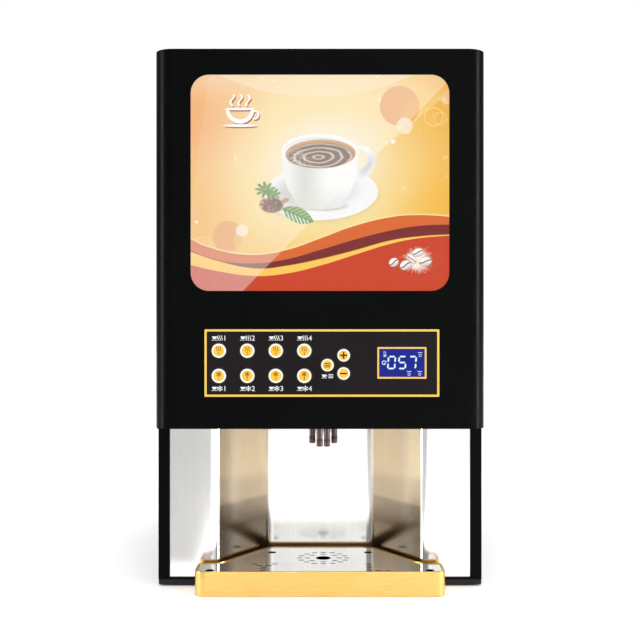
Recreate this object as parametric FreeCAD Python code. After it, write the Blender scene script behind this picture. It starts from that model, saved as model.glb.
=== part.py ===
"""Table-top hot coffee vending machine, built as an assembly. Millimetres, +X right, +Y back, +Z up.

Modelled from the cabinet's front plane (y = 0); export moves everything by SHIFT_Y so that the origin
is the centre of the whole object's footprint, on the surface that it stands on.
"""

import FreeCAD, Part
import math
import os

V = FreeCAD.Vector

# ---- Cabinet -----------------------------------------------------------------------------------
WIDTH = 400.0  # over the side walls, and over the door
DEPTH = 430.0  # cabinet, front plane to rear face
HEIGHT = 658.0  # cabinet roof above the table
SHEET = 1.5  # painted sheet steel
FLANGE = 14.0  # front return of the side walls
FOOT_HEIGHT = 2.0
FOOT_RADIUS = 14.0
FOOT_INSET = 34.0
BASE_THICK = 6.0
SILL_HEIGHT = 2.6  # lip of the side shell over the base plate
REAR_RECESS = 14.0  # rear panel set back, so that its fittings stay inside the cabinet

# ---- Door --------------------------------------------------------------------------------------
DOOR_BOTTOM = 198.0
DOOR_THICK = 33.0
DOOR_GAP = 3.0  # between the door's rear edge and the cabinet
DOOR_HEAD_GAP = 3.0  # room for the upper hinge bracket
DOOR_CORNER_R = 22.0
HINGE_INSET = 5.0  # pin axis from the door's side and from its rear edge
HINGE_PIN_R = 2.5
BRACKET_THICK = 2.0
BRACKET_GAP = 0.5
COVER_FIT = 0.5  # door's rear cover inside its walls

# ---- Lit picture in the door ---------------------------------------------------------------------
WINDOW_W, WINDOW_H = 311.0, 260.0
WINDOW_Z = 494.0
WINDOW_R = 22.0
WINDOW_FIT = 0.3
ACRYLIC_THICK = 2.0  # flange behind the sheet
ACRYLIC_LIP = 9.0
PRINT_THICK = 0.5
LIGHT_BOX_DEPTH = 17.0
LIGHT_BOX_WALL = 1.5
LED_BARS = 5

# ---- Control panel -------------------------------------------------------------------------------
PANEL_X, PANEL_Z = 2.3, 277.3
PANEL_W, PANEL_H = 282.0, 81.0
OVERLAY_THICK = 0.6
TRIM_WIDTH, TRIM_THICK = 2.6, 0.2
DRINK_X0, DRINK_PITCH, DRINK_COUNT = -121.5, 34.2, 4
HOT_Z, COLD_Z = 292.1, 261.9
DRINK_R = 8.4
SMALL_R = 7.4
MENU_X, MENU_Z = 8.9, 274.8
PLUS_X, PLUS_Z, MINUS_Z = 28.4, 286.6, 264.8
BUTTON_FIT = 0.3
BUTTON_PROUD = 1.2  # above the overlay
BUTTON_TRAVEL = 0.8
BUTTON_LIP, BUTTON_LIP_THICK = 1.2, 1.0
STEM_R = 2.5
LCD_X, LCD_Z = 98.4, 277.5
LCD_W, LCD_H = 59.4, 38.3
LCD_FRAME, LCD_PROUD = 2.0, 0.4
LCD_SINK, LCD_GAP = 0.3, 0.2
BOARD_THICK = 1.6
BOARD_BACK = 14.0  # board's front face behind the door's sheet
SWITCH_SIDE, SWITCH_HEIGHT = 6.0, 3.6

# ---- Cup bay -------------------------------------------------------------------------------------
LINER_THICK = 1.0
LINER_FRONT = 2.0
LINER_WING_X = 128.0  # where the front wing bends back
BAY_BACK = 95.0
BAY_BACK_X = 68.0
BEND_R = 13.0

# ---- Drip tray -----------------------------------------------------------------------------------
TRAY_W = 300.0
TRAY_FRONT = -51.0
TRAY_WING_BACK = -6.5
TRAY_HEIGHT = 30.0
TRAY_GROUND = 0.6
TRAY_SIDE_GAP = 6.0  # tray to the bay's slanted walls
TRAY_BACK = 83.0
TRAY_SLOT_GAP = 1.0  # between the tray's sides and the sill that it stands in
BAND_WALL = 3.0
TRAY_OVER_BASE = 0.5
PAN_WALL, PAN_FLOOR = 1.2, 1.5
PAN_FIT = 0.3
LUG_INSET = 15.0  # lugs under the pan, from the tray's sides
GRID_THICK, GRID_SINK = 2.0, 0.8
GRID_FIT = 0.6
CORNER_HOLE_R = 5.3
DRAIN_HOLE_R = 9.3
DRAIN_Y = 22.0
DRAIN_X = 4.2
SLOT_LENGTH, SLOT_WIDTH = 4.6, 1.9
# short slots each side of the drain: x, and distance behind the tray's front
LEFT_SLOTS = ((-80, 42), (-74, 33.5), (-68.5, 26), (-62, 35), (-55.5, 42), (-69, 18), (-69, 9))
RIGHT_SLOTS = ((60, 42), (60, 33.5), (60, 25), (60, 17), (60, 9), (70, 9), (81, 9))
BACK_HOLE_X = 62.0
RING_RADII = (20.0, 29.7)
RING_COUNTS = (8, 16)

# ---- Drink outlets -------------------------------------------------------------------------------
NOZZLE_X, NOZZLE_PITCH = 4.2, 9.3
NOZZLE_TIP = 170.0
NOZZLE_R, NOZZLE_BORE = 3.7, 2.4
OUTER_NOZZLE_BACK, OUTER_NOZZLE_SHORT = 7.0, 3.5
HOLDER_W, HOLDER_D, HOLDER_H = 50.0, 34.0, 16.0
HOLDER_FIT, HOLDER_RIM = 0.3, 3.0
HOLDER_BACK = 4.0  # holder's centre behind the drain's

# ---- Powder side ---------------------------------------------------------------------------------
CANISTER_PITCH = 94.0
CANISTER_W, CANISTER_D, CANISTER_H = 88.0, 98.0, 190.0
CANISTER_FRONT = 48.0
CANISTER_WALL = 2.5
SHELF_Z = 402.0
BULKHEAD_Y = 150.0
BULKHEAD_THICK, BULKHEAD_HEAD_GAP = 2.0, 30.0
LID_THICK, LID_SKIRT, LID_FIT = 3.0, 9.0, 0.4
AUGER_Z = 26.0  # axis over the shelf
AUGER_R, AUGER_SHAFT_R, AUGER_PITCH = 14.0, 4.0, 20.0
FLIGHT_THICK = 1.6
SPOUT_R, SPOUT_WALL, SPOUT_REACH = 18.0, 2.0, 34.0
DROP_WIDTH, CHUTE_REACH = 20.0, 22.0
BOWL_Z, BOWL_R, BOWL_H = 318.0, 22.0, 46.0
BOWL_WALL = 2.0
MOTOR_W, MOTOR_H, MOTOR_D = 56.0, 44.0, 26.0
CAN_R, CAN_D = 17.0, 34.0
SHAFT_FIT = 0.1

# ---- Water and cooling ---------------------------------------------------------------------------
TANK_R, TANK_H = 62.0, 190.0
TANK_SHOULDER, TANK_WALL = 14.0, 1.5
TANK_X, TANK_Y = 98.0, 300.0
VALVE_W, VALVE_H = 26.0, 34.0
COMPRESSOR_R, COMPRESSOR_H, COMPRESSOR_DOME = 56.0, 118.0, 24.0
COMPRESSOR_X, COMPRESSOR_Y = -108.0, 280.0
FAN_R, FAN_DEPTH, FAN_HUB_R, FAN_BLADES = 52.0, 26.0, 17.0, 7
FAN_X, FAN_Z, FAN_TIP_GAP = 92.0, 112.0, 2.0
FAN_FRAME_WALL = 5.0
CONDENSER_GAP, CONDENSER_D, CONDENSER_FINS, CONDENSER_ROW = 12.0, 36.0, 22, 26
INLET_X, INLET_Z, INLET_W, INLET_H = -150.0, 72.0, 28.0, 22.0
ROCKER_Z, ROCKER_W, ROCKER_H = 118.0, 14.0, 22.0
ROCKER_PIN_R, ROCKER_PIN_REACH = 1.3, 1.2  # trunnion, beyond each side of the rocker
WATER_X, WATER_Z, WATER_R, WATER_BORE = -96.0, 100.0, 10.0, 7.0
SCREW_R, SCREW_HEAD = 3.5, 1.6
LOCK_Y, LOCK_Z, LOCK_R = 30.0, 430.0, 9.5

# ---- Places that follow from the sizes above -----------------------------------------------------
HALF = WIDTH / 2
BASE_TOP = FOOT_HEIGHT + BASE_THICK
DOOR_BACK = -DOOR_GAP
DOOR_FRONT = -DOOR_GAP - DOOR_THICK
DOOR_SKIN = DOOR_FRONT + SHEET  # rear face of the door's front sheet
DOOR_TOP = HEIGHT - DOOR_HEAD_GAP
HINGE_X, HINGE_Y = -HALF + HINGE_INSET, DOOR_BACK - HINGE_INSET
FLOOR_Z = DOOR_BOTTOM  # underside of the upper compartment's floor
REAR_Y = DEPTH - REAR_RECESS
CANISTER_X = [(i - 1.5) * CANISTER_PITCH for i in range(4)]
AUGER_AXIS_Z = SHELF_Z + AUGER_Z
SPOUT_FRONT = CANISTER_FRONT - SPOUT_REACH
BOWL_Y = SPOUT_FRONT + DROP_WIDTH / 2 + 2.0
SHIFT_Y = -(TRAY_FRONT + DEPTH) / 2


def box(x0, x1, y0, y1, z0, z1):
    return Part.makeBox(x1 - x0, y1 - y0, z1 - z0, V(x0, y0, z0))


def rod(radius, start, end):
    """Cylinder between two points."""
    way = V(*end) - V(*start)
    return Part.makeCylinder(radius, way.Length, V(*start), way)


def rounded_outline(points, radii, z):
    """Closed wire through points, each corner rounded by its radius (0 leaves it sharp)."""
    count, edges, joins = len(points), [], []
    for i in range(count):
        before, here, after = (V(*points[(i + k) % count], z) for k in (-1, 0, 1))
        into, out = (before - here).normalize(), (after - here).normalize()
        half_turn = into.getAngle(out) / 2
        reach = radii[i] / math.tan(half_turn)
        if radii[i] == 0:
            joins.append((here, here, None))
            continue
        bisector = (into + out).normalize()
        middle = here + bisector * (radii[i] / math.sin(half_turn) - radii[i])
        joins.append((here + into * reach, here + out * reach, middle))
    for i in range(count):
        start, end, middle = joins[i]
        if middle is not None:
            edges.append(Part.Arc(start, middle, end).toShape())
        following = joins[(i + 1) % count][0]
        if (following - end).Length > 1e-6:
            edges.append(Part.LineSegment(end, following).toShape())
    return Part.Wire(edges)


def prism(wire, height):
    return Part.Face(wire).extrude(V(0, 0, height))


def rounded_plate(w, h, radius, x, z, y0, y1):
    """Upright plate with rounded corners, in the XZ plane from y0 to y1."""
    corners = [(-w / 2, -h / 2), (w / 2, -h / 2), (w / 2, h / 2), (-w / 2, h / 2)]
    plate = prism(rounded_outline(corners, [radius] * 4, 0), y1 - y0)
    plate.rotate(V(0, 0, 0), V(1, 0, 0), 90)  # the prism's height now runs along -Y
    plate.translate(V(x, y1, z))
    return plate


def mirror_points(half):
    """Symmetric outline from the points of its left half, front to back."""
    return half + [(-x, y) for x, y in reversed(half)]


def round_edges_over(shape, z, width):
    """The shape's wide edges that lie above a height."""
    return [e for e in shape.Edges if e.BoundBox.ZMin > z and e.BoundBox.XLength > width]


def tube_path(points):
    """Straight runs joined by tangent arcs as large as the runs allow."""
    nodes, edges = [V(*p) for p in points], []
    at = nodes[0]
    for i in range(1, len(nodes) - 1):
        before, here, after = nodes[i - 1], nodes[i], nodes[i + 1]
        into, out = before - here, after - here
        reach = 0.45 * min(into.Length, out.Length)
        into.normalize()
        out.normalize()
        half_turn = into.getAngle(out) / 2
        radius = reach * math.tan(half_turn)
        start, end = here + into * reach, here + out * reach
        middle = here + (into + out).normalize() * (radius / math.sin(half_turn) - radius)
        edges.append(Part.LineSegment(at, start).toShape())
        edges.append(Part.Arc(start, middle, end).toShape())
        at = end
    edges.append(Part.LineSegment(at, nodes[-1]).toShape())
    return Part.Wire(edges)


def tube(points, outer, bore):
    path = tube_path(points)
    start, way = V(*points[0]), V(*points[1]) - V(*points[0])
    parts = []
    for radius in (outer, bore):
        ring = Part.Wire([Part.Circle(start, way, radius).toShape()])
        parts.append(path.makePipeShell([ring], True, False))
    return parts[0].cut(parts[1])


os.makedirs("parts", exist_ok=True)
made = {}


def put(name, *solids):
    """Writes one node: its solids, moved so that the footprint's centre is the origin."""
    shape = solids[0] if len(solids) == 1 else Part.makeCompound(list(solids))
    shape = shape.copy()
    shape.translate(V(0, SHIFT_Y, 0))
    loose = [s for s in shape.Solids]
    for solid in loose:
        if not solid.isValid() or solid.Volume <= 0:
            raise ValueError(f"{name} has a bad solid")
    shape = loose[0] if len(loose) == 1 else Part.makeCompound(loose)
    shape.exportStep(f"parts/{name}.step")
    made[name] = len(loose)


# ---- Cabinet -------------------------------------------------------------------------------------
def cabinet_shell():
    outer = box(-HALF, HALF, 0, DEPTH, BASE_TOP, HEIGHT)
    upright = [e for e in outer.Edges if e.BoundBox.YLength > DEPTH / 2 and e.BoundBox.ZMin > DOOR_TOP]
    outer = outer.makeFillet(SHEET * 2, upright)
    room = box(-HALF + SHEET, HALF - SHEET, SHEET, DEPTH + 1, BASE_TOP - 1, HEIGHT - SHEET)
    mouth = box(-HALF + FLANGE, HALF - FLANGE, -1, SHEET + 1, BASE_TOP + SILL_HEIGHT, HEIGHT - FLANGE)
    tray_half = TRAY_W / 2 + TRAY_SLOT_GAP
    tray_way = box(-tray_half, tray_half, -1, SHEET + 1, BASE_TOP - 1, HEIGHT / 2)
    shell = outer.cut(room).cut([mouth, tray_way])
    return shell.cut(rod(LOCK_R, (HALF - 5, LOCK_Y, LOCK_Z), (HALF + 5, LOCK_Y, LOCK_Z)))


def base_plate():
    plate = box(-HALF, HALF, 0, DEPTH, FOOT_HEIGHT, BASE_TOP)
    sides = [e for e in plate.Edges if e.BoundBox.ZLength > BASE_THICK / 2]
    return plate.makeFillet(2.0, sides)


def rubber_feet():
    side = HALF - FOOT_INSET
    spots = [(x, y) for x in (-side, side) for y in (FOOT_INSET, DEPTH - FOOT_INSET)]
    return [rod(FOOT_RADIUS, (x, y, 0), (x, y, FOOT_HEIGHT)) for x, y in spots]


def rear_panel():
    panel = box(-HALF + SHEET, HALF - SHEET, REAR_Y - SHEET, REAR_Y, BASE_TOP, HEIGHT - SHEET)
    slot_w, slot_h, pitch = 60.0, 4.0, 12.0
    cuts = []
    for row in range(8):
        z = HEIGHT - 60 - row * pitch
        for x in (-90, 0, 90):
            cuts.append(box(x - slot_w / 2, x + slot_w / 2, REAR_Y - 5, REAR_Y + 1, z, z + slot_h))
    grille_step = 9.0
    for row in range(-5, 6):
        half = math.sqrt((FAN_R - 2) ** 2 - (row * grille_step) ** 2)
        z = FAN_Z + row * grille_step
        cuts.append(box(FAN_X - half, FAN_X + half, REAR_Y - 5, REAR_Y + 1, z - 2.5, z + 2.5))
    cuts.append(box(INLET_X - INLET_W / 2, INLET_X + INLET_W / 2, REAR_Y - 5, REAR_Y + 1,
                    INLET_Z - INLET_H / 2, INLET_Z + INLET_H / 2))
    cuts.append(box(INLET_X - ROCKER_W / 2 - 2, INLET_X + ROCKER_W / 2 + 2, REAR_Y - 5, REAR_Y + 1,
                    ROCKER_Z - ROCKER_H / 2 - 2, ROCKER_Z + ROCKER_H / 2 + 2))
    cuts.append(rod(WATER_R, (WATER_X, REAR_Y - 5, WATER_Z), (WATER_X, REAR_Y + 1, WATER_Z)))
    return panel.cut(cuts)


def panel_screws():
    screws = []
    for x in (-HALF + 12, HALF - 12):
        for z in (30, 180, 330, 480, HEIGHT - 30):
            head = rod(SCREW_R, (x, REAR_Y, z), (x, REAR_Y + SCREW_HEAD, z))
            head = head.makeFillet(0.6, [e for e in head.Edges if e.BoundBox.YMin > REAR_Y + SCREW_HEAD / 2])
            recess = box(x - 2, x + 2, REAR_Y + SCREW_HEAD - 0.8, REAR_Y + 9, z - 0.4, z + 0.4)
            cross = box(x - 0.4, x + 0.4, REAR_Y + SCREW_HEAD - 0.8, REAR_Y + 9, z - 2, z + 2)
            screws.append(head.cut([recess, cross]))
    return screws


def bay_slant(inset):
    """Gives the x of the bay's left slanted wall at any y; inset moves the wall into the bay."""
    slope = V(LINER_WING_X - BAY_BACK_X, BAY_BACK - LINER_FRONT).normalize()
    shift = (inset * slope.y, -inset * slope.x)
    def on_slant(y):
        run = (y - LINER_FRONT - shift[1]) / slope.y
        return -LINER_WING_X + shift[0] + run * slope.x
    return on_slant


def niche_liner():
    edge_x = HALF - SHEET
    face = bay_slant(0.0)
    behind = bay_slant(-LINER_THICK)
    front, back = LINER_FRONT, LINER_FRONT + LINER_THICK
    end = BAY_BACK + LINER_THICK
    inner = [(-edge_x, front), (face(front), front), (face(BAY_BACK), BAY_BACK)]
    outer = [(-edge_x, back), (behind(back), back), (behind(end), end)]
    points = mirror_points(inner) + [(x, y) for x, y in reversed(mirror_points(outer))]
    bends = [0, BEND_R, BEND_R - LINER_THICK]
    outer_bends = [0, BEND_R - LINER_THICK, BEND_R]
    radii = bends + bends[::-1] + (outer_bends + outer_bends[::-1])[::-1]
    return prism(rounded_outline(points, radii, BASE_TOP), FLOOR_Z - BASE_TOP)


def nozzle_plate():
    """Floor of the upper compartment, with the hole that the outlets' holder sits in."""
    plate = box(-HALF + SHEET, HALF - SHEET, SHEET, REAR_Y - SHEET, FLOOR_Z, FLOOR_Z + SHEET)
    half_w, half_d = HOLDER_W / 2 + HOLDER_FIT, HOLDER_D / 2 + HOLDER_FIT
    y = DRAIN_Y + HOLDER_BACK
    x0, x1 = NOZZLE_X - half_w, NOZZLE_X + half_w
    return plate.cut(box(x0, x1, y - half_d, y + half_d, FLOOR_Z - 1, FLOOR_Z + 9))


def nozzle_spots():
    """(x, y, tip height) of each outlet; the outer two stand further back and end higher."""
    spots = []
    for i in range(4):
        x = NOZZLE_X + (i - 1.5) * NOZZLE_PITCH
        if i in (0, 3):
            spots.append((x, DRAIN_Y + OUTER_NOZZLE_BACK, NOZZLE_TIP + OUTER_NOZZLE_SHORT))
        else:
            spots.append((x, DRAIN_Y, NOZZLE_TIP))
    return spots


def nozzle_holder():
    """Block that the four tubes stand in, hung in the plate by its rim."""
    y = DRAIN_Y + HOLDER_BACK
    half_w, half_d = HOLDER_W / 2, HOLDER_D / 2
    body = box(NOZZLE_X - half_w, NOZZLE_X + half_w, y - half_d, y + half_d,
               FLOOR_Z + HOLDER_FIT, FLOOR_Z + HOLDER_H)
    rim = box(NOZZLE_X - half_w - HOLDER_RIM, NOZZLE_X + half_w + HOLDER_RIM, y - half_d - HOLDER_RIM,
              y + half_d + HOLDER_RIM, FLOOR_Z + SHEET, FLOOR_Z + SHEET + 2)
    block = body.fuse(rim)
    z0, z1 = FLOOR_Z - 5, FLOOR_Z + HOLDER_H + 5
    for x, spot_y, _ in nozzle_spots():
        block = block.cut(rod(NOZZLE_R + 0.2, (x, spot_y, z0), (x, spot_y, z1)))
    return block


def product_tubes():
    tubes = []
    for (x, y, tip), bowl_x in zip(nozzle_spots(), CANISTER_X):
        side = bowl_x - x
        points = [(x, y, tip), (x, y, FLOOR_Z + 46), (x + 0.55 * side, y + 3, FLOOR_Z + 70),
                  (bowl_x, BOWL_Y, BOWL_Z - 46), (bowl_x, BOWL_Y, BOWL_Z - 16.2)]
        tubes.append(tube(points, NOZZLE_R, NOZZLE_BORE))
    return tubes


def mixing_bowl(x):
    """Open funnel with a spigot for its tube and an arm that joins it to the bulkhead."""
    def cone(extra):
        top, low = BOWL_R - extra, 7.0 - extra
        middle = Part.makeCylinder(top, BOWL_H * 0.45, V(x, BOWL_Y, BOWL_Z + BOWL_H * 0.55))
        return middle.fuse(Part.makeCone(low, top, BOWL_H * 0.55, V(x, BOWL_Y, BOWL_Z)))
    spigot = rod(6.0, (x, BOWL_Y, BOWL_Z - 16), (x, BOWL_Y, BOWL_Z + 2))
    arm = box(x - 9, x + 9, BOWL_Y + 10, BULKHEAD_Y, BOWL_Z + 20, BOWL_Z + 26)
    solid = cone(0).fuse([spigot, arm])
    hollow = cone(BOWL_WALL).fuse(rod(2.8, (x, BOWL_Y, BOWL_Z - 20), (x, BOWL_Y, BOWL_Z + 5)))
    mouth = rod(BOWL_R - BOWL_WALL, (x, BOWL_Y, BOWL_Z + BOWL_H - 5), (x, BOWL_Y, BOWL_Z + BOWL_H + 5))
    return solid.cut([hollow, mouth])


def bulkhead():
    """Wall between the powder side and the water side; the augers' shafts pass through it."""
    wall = box(-HALF + SHEET, HALF - SHEET, BULKHEAD_Y, BULKHEAD_Y + BULKHEAD_THICK,
               FLOOR_Z + SHEET, HEIGHT - SHEET - BULKHEAD_HEAD_GAP)
    y0, y1 = BULKHEAD_Y - 5, BULKHEAD_Y + 9
    for x in CANISTER_X:
        wall = wall.cut(rod(AUGER_SHAFT_R + 3, (x, y0, AUGER_AXIS_Z), (x, y1, AUGER_AXIS_Z)))
    return wall


def canister_shelf():
    side, front = HALF - SHEET, CANISTER_FRONT - 4
    plate = box(-side, side, front, BULKHEAD_Y, SHELF_Z - 2, SHELF_Z)
    lip = box(-side, side, front, front + 1.5, SHELF_Z - 16, SHELF_Z - 2)
    return plate.fuse(lip)


def canister(x):
    """Powder box with a spout across its front foot, over the mixing bowl."""
    z0 = SHELF_Z
    rear = CANISTER_FRONT + CANISTER_D
    body = box(x - CANISTER_W / 2, x + CANISTER_W / 2, CANISTER_FRONT, rear, z0, z0 + CANISTER_H)
    body = body.makeFillet(6.0, [e for e in body.Edges if e.BoundBox.ZLength > CANISTER_H / 2])
    w = CANISTER_WALL
    room = box(x - CANISTER_W / 2 + w, x + CANISTER_W / 2 - w, CANISTER_FRONT + w, rear - w,
               z0 + AUGER_Z, z0 + CANISTER_H + 1)
    trough = rod(AUGER_R + 2, (x, CANISTER_FRONT + w, AUGER_AXIS_Z), (x, rear - w, AUGER_AXIS_Z))
    spout = rod(SPOUT_R, (x, SPOUT_FRONT, AUGER_AXIS_Z), (x, CANISTER_FRONT + w, AUGER_AXIS_Z))
    chute = box(x - DROP_WIDTH / 2, x + DROP_WIDTH / 2, SPOUT_FRONT, SPOUT_FRONT + DROP_WIDTH,
                z0 - CHUTE_REACH, AUGER_AXIS_Z)
    bore = rod(SPOUT_R - SPOUT_WALL, (x, SPOUT_FRONT + SPOUT_WALL, AUGER_AXIS_Z),
               (x, CANISTER_FRONT + w + 1, AUGER_AXIS_Z))
    fall = box(x - DROP_WIDTH / 2 + 2, x + DROP_WIDTH / 2 - 2, SPOUT_FRONT + 2, SPOUT_FRONT + DROP_WIDTH - 2,
               z0 - CHUTE_REACH - 3, AUGER_AXIS_Z)
    shaft = rod(AUGER_SHAFT_R + SHAFT_FIT, (x, rear - w - 1, AUGER_AXIS_Z), (x, rear + 1, AUGER_AXIS_Z))
    return body.fuse([spout, chute]).cut([room, trough, bore, fall, shaft])


def canister_lid(x):
    z = SHELF_Z + CANISTER_H
    w, d = CANISTER_W + 2 * (LID_FIT + 2), CANISTER_D + 2 * (LID_FIT + 1)
    y = CANISTER_FRONT + CANISTER_D / 2
    lid = box(x - w / 2, x + w / 2, y - d / 2, y + d / 2, z - LID_SKIRT, z + LID_THICK)
    lid = lid.makeFillet(7.0, [e for e in lid.Edges if e.BoundBox.ZLength > LID_SKIRT / 2])
    grow = LID_FIT
    hollow = box(x - CANISTER_W / 2 - grow, x + CANISTER_W / 2 + grow, CANISTER_FRONT - grow,
                 CANISTER_FRONT + CANISTER_D + grow, z - LID_SKIRT - 1, z)
    knob = box(x - 20, x + 20, y - 4, y + 4, z + LID_THICK, z + LID_THICK + 7)
    knob = knob.makeFillet(2.0, [e for e in knob.Edges if e.BoundBox.ZMin > z + LID_THICK + 5])
    return lid.cut(hollow).fuse(knob)


def auger(x):
    """Screw that pushes the powder forward: shaft, flight and the drive end that enters the motor."""
    start, end = SPOUT_FRONT + SPOUT_WALL + 1.5, CANISTER_FRONT + CANISTER_D - CANISTER_WALL - 3
    shaft = rod(AUGER_SHAFT_R, (x, start, AUGER_AXIS_Z), (x, BULKHEAD_Y + BULKHEAD_THICK + 8, AUGER_AXIS_Z))
    length = end - start - 4
    helix = Part.makeHelix(AUGER_PITCH, length, AUGER_R - 1)
    half = FLIGHT_THICK / 2
    section = Part.makePolygon([V(AUGER_SHAFT_R - 1, 0, -half), V(AUGER_R, 0, -half), V(AUGER_R, 0, half),
                                V(AUGER_SHAFT_R - 1, 0, half), V(AUGER_SHAFT_R - 1, 0, -half)])
    pipe = Part.BRepOffsetAPI.MakePipeShell(helix)
    pipe.setFrenetMode(True)
    pipe.add(section)
    pipe.build()
    pipe.makeSolid()
    flight = pipe.shape()
    flight.rotate(V(0, 0, 0), V(1, 0, 0), -90)
    flight.translate(V(x, start + 2, AUGER_AXIS_Z))
    return shaft.fuse(flight)


def auger_motor(x):
    y = BULKHEAD_Y + BULKHEAD_THICK
    gearbox = box(x - MOTOR_W / 2, x + MOTOR_W / 2, y, y + MOTOR_D,
                  AUGER_AXIS_Z - MOTOR_H / 2, AUGER_AXIS_Z + MOTOR_H / 2)
    gearbox = gearbox.makeFillet(4.0, [e for e in gearbox.Edges if e.BoundBox.YLength > MOTOR_D / 2])
    can = rod(CAN_R, (x, y + MOTOR_D, AUGER_AXIS_Z), (x, y + MOTOR_D + CAN_D, AUGER_AXIS_Z))
    socket = rod(AUGER_SHAFT_R + SHAFT_FIT, (x, y - 1, AUGER_AXIS_Z), (x, y + 12, AUGER_AXIS_Z))
    return gearbox.fuse(can).cut(socket)


# ---- Water and cooling ---------------------------------------------------------------------------
def tank(x):
    """Upright pressed tank with a domed lid, an outlet stub and a seat ring."""
    z = FLOOR_Z + SHEET
    body = rod(TANK_R, (x, TANK_Y, z), (x, TANK_Y, z + TANK_H))
    body = body.makeFillet(TANK_SHOULDER, round_edges_over(body, z + TANK_H / 2, TANK_R))
    hollow = rod(TANK_R - TANK_WALL, (x, TANK_Y, z + TANK_WALL), (x, TANK_Y, z + TANK_H - TANK_SHOULDER - 2))
    stub = rod(5.0, (x, TANK_Y, z + TANK_H - 2), (x, TANK_Y, z + TANK_H + 16))
    band = rod(TANK_R + 2, (x, TANK_Y, z + 0.6 * TANK_H), (x, TANK_Y, z + 0.6 * TANK_H + 10))
    return body.fuse([stub, band]).cut(hollow)


def solenoid_valves():
    valves = []
    y = BULKHEAD_Y + BULKHEAD_THICK
    for x in CANISTER_X:
        z = AUGER_AXIS_Z + MOTOR_H / 2 + 40
        block = box(x - VALVE_W / 2, x + VALVE_W / 2, y, y + VALVE_W, z, z + 14)
        coil = rod(VALVE_W / 2 - 2, (x, y + VALVE_W / 2, z + 14), (x, y + VALVE_W / 2, z + VALVE_H))
        port = rod(4.0, (x, y + VALVE_W, z + 7), (x, y + VALVE_W + 12, z + 7))
        valves.append(block.fuse([coil, port]))
    return valves


def compressor():
    """Domed pot with a welded seam, on three feet."""
    x, y = COMPRESSOR_X, COMPRESSOR_Y
    top, seam_z = BASE_TOP + COMPRESSOR_H, BASE_TOP + 0.53 * COMPRESSOR_H
    pot = rod(COMPRESSOR_R, (x, y, BASE_TOP + 6), (x, y, top))
    pot = pot.makeFillet(COMPRESSOR_DOME, round_edges_over(pot, seam_z, COMPRESSOR_R))
    seam = rod(COMPRESSOR_R + 3, (x, y, seam_z), (x, y, seam_z + 4))
    feet = []
    for turn in (30, 150, 270):
        away = V(math.cos(math.radians(turn)), math.sin(math.radians(turn)), 0) * (COMPRESSOR_R + 2)
        feet.append(rod(11.0, (x + away.x, y + away.y, BASE_TOP), (x + away.x, y + away.y, BASE_TOP + 14)))
    return pot.fuse(feet + [seam])


def condenser():
    """Finned block between the fan and the cup bay, standing on the base plate."""
    y1 = REAR_Y - SHEET - FAN_DEPTH - CONDENSER_GAP
    y0 = y1 - CONDENSER_D
    x0, x1 = FAN_X - FAN_R - 6, FAN_X + FAN_R + 6
    z1 = FAN_Z + FAN_R + 6
    pitch = (x1 - x0 - 2) / (CONDENSER_FINS - 1)
    starts = [x0 + i * pitch for i in range(1, CONDENSER_FINS - 1)]
    fins = [box(x, x + 1.2, y0, y1, BASE_TOP, z1) for x in starts]
    ends = [box(x0, x0 + 2, y0, y1, BASE_TOP, z1), box(x1 - 2, x1, y0, y1, BASE_TOP, z1)]
    middle = (y0 + y1) / 2
    rows = range(int(BASE_TOP) + 20, int(z1) - 8, CONDENSER_ROW)
    pipes = [rod(3.5, (x0 - 8, middle, z), (x1 + 8, middle, z)) for z in rows]
    return ends[0].fuse(fins + ends[1:] + pipes)


def fan_frame():
    y0, y1 = REAR_Y - SHEET - FAN_DEPTH, REAR_Y - SHEET
    half = FAN_R + FAN_FRAME_WALL
    frame = box(FAN_X - half, FAN_X + half, y0, y1, FAN_Z - half, FAN_Z + half)
    frame = frame.makeFillet(5.0, [e for e in frame.Edges if e.BoundBox.YLength > FAN_DEPTH / 2])
    frame = frame.cut(rod(FAN_R, (FAN_X, y0 - 1, FAN_Z), (FAN_X, y1 + 1, FAN_Z)))
    struts = [box(FAN_X - FAN_R - 1, FAN_X + FAN_R + 1, y0, y0 + 2.5, FAN_Z - 2, FAN_Z + 2),
              box(FAN_X - 2, FAN_X + 2, y0, y0 + 2.5, FAN_Z - FAN_R - 1, FAN_Z + FAN_R + 1)]
    hub = rod(FAN_HUB_R, (FAN_X, y0, FAN_Z), (FAN_X, y0 + 4, FAN_Z))
    pin = rod(2.5, (FAN_X, y0, FAN_Z), (FAN_X, y0 + FAN_DEPTH - 6, FAN_Z))
    return frame.fuse(struts + [hub, pin])


def fan_rotor():
    y0 = REAR_Y - SHEET - FAN_DEPTH + 4.5
    length = FAN_DEPTH - 8
    hub = rod(FAN_HUB_R, (FAN_X, y0, FAN_Z), (FAN_X, y0 + length, FAN_Z))
    reach = FAN_R - FAN_TIP_GAP
    blades = []
    for i in range(FAN_BLADES):
        blade = box(FAN_HUB_R - 2, reach - 2, -1.0, 1.0, -8, 8)
        blade.rotate(V(0, 0, 0), V(1, 0, 0), 55)
        blade.rotate(V(0, 0, 0), V(0, 1, 0), i * 360 / FAN_BLADES)
        blade.translate(V(FAN_X, y0 + length / 2, FAN_Z))
        blades.append(blade)
    return hub.fuse(blades).cut(rod(2.55, (FAN_X, y0 - 1, FAN_Z), (FAN_X, y0 + length - 2, FAN_Z)))


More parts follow.
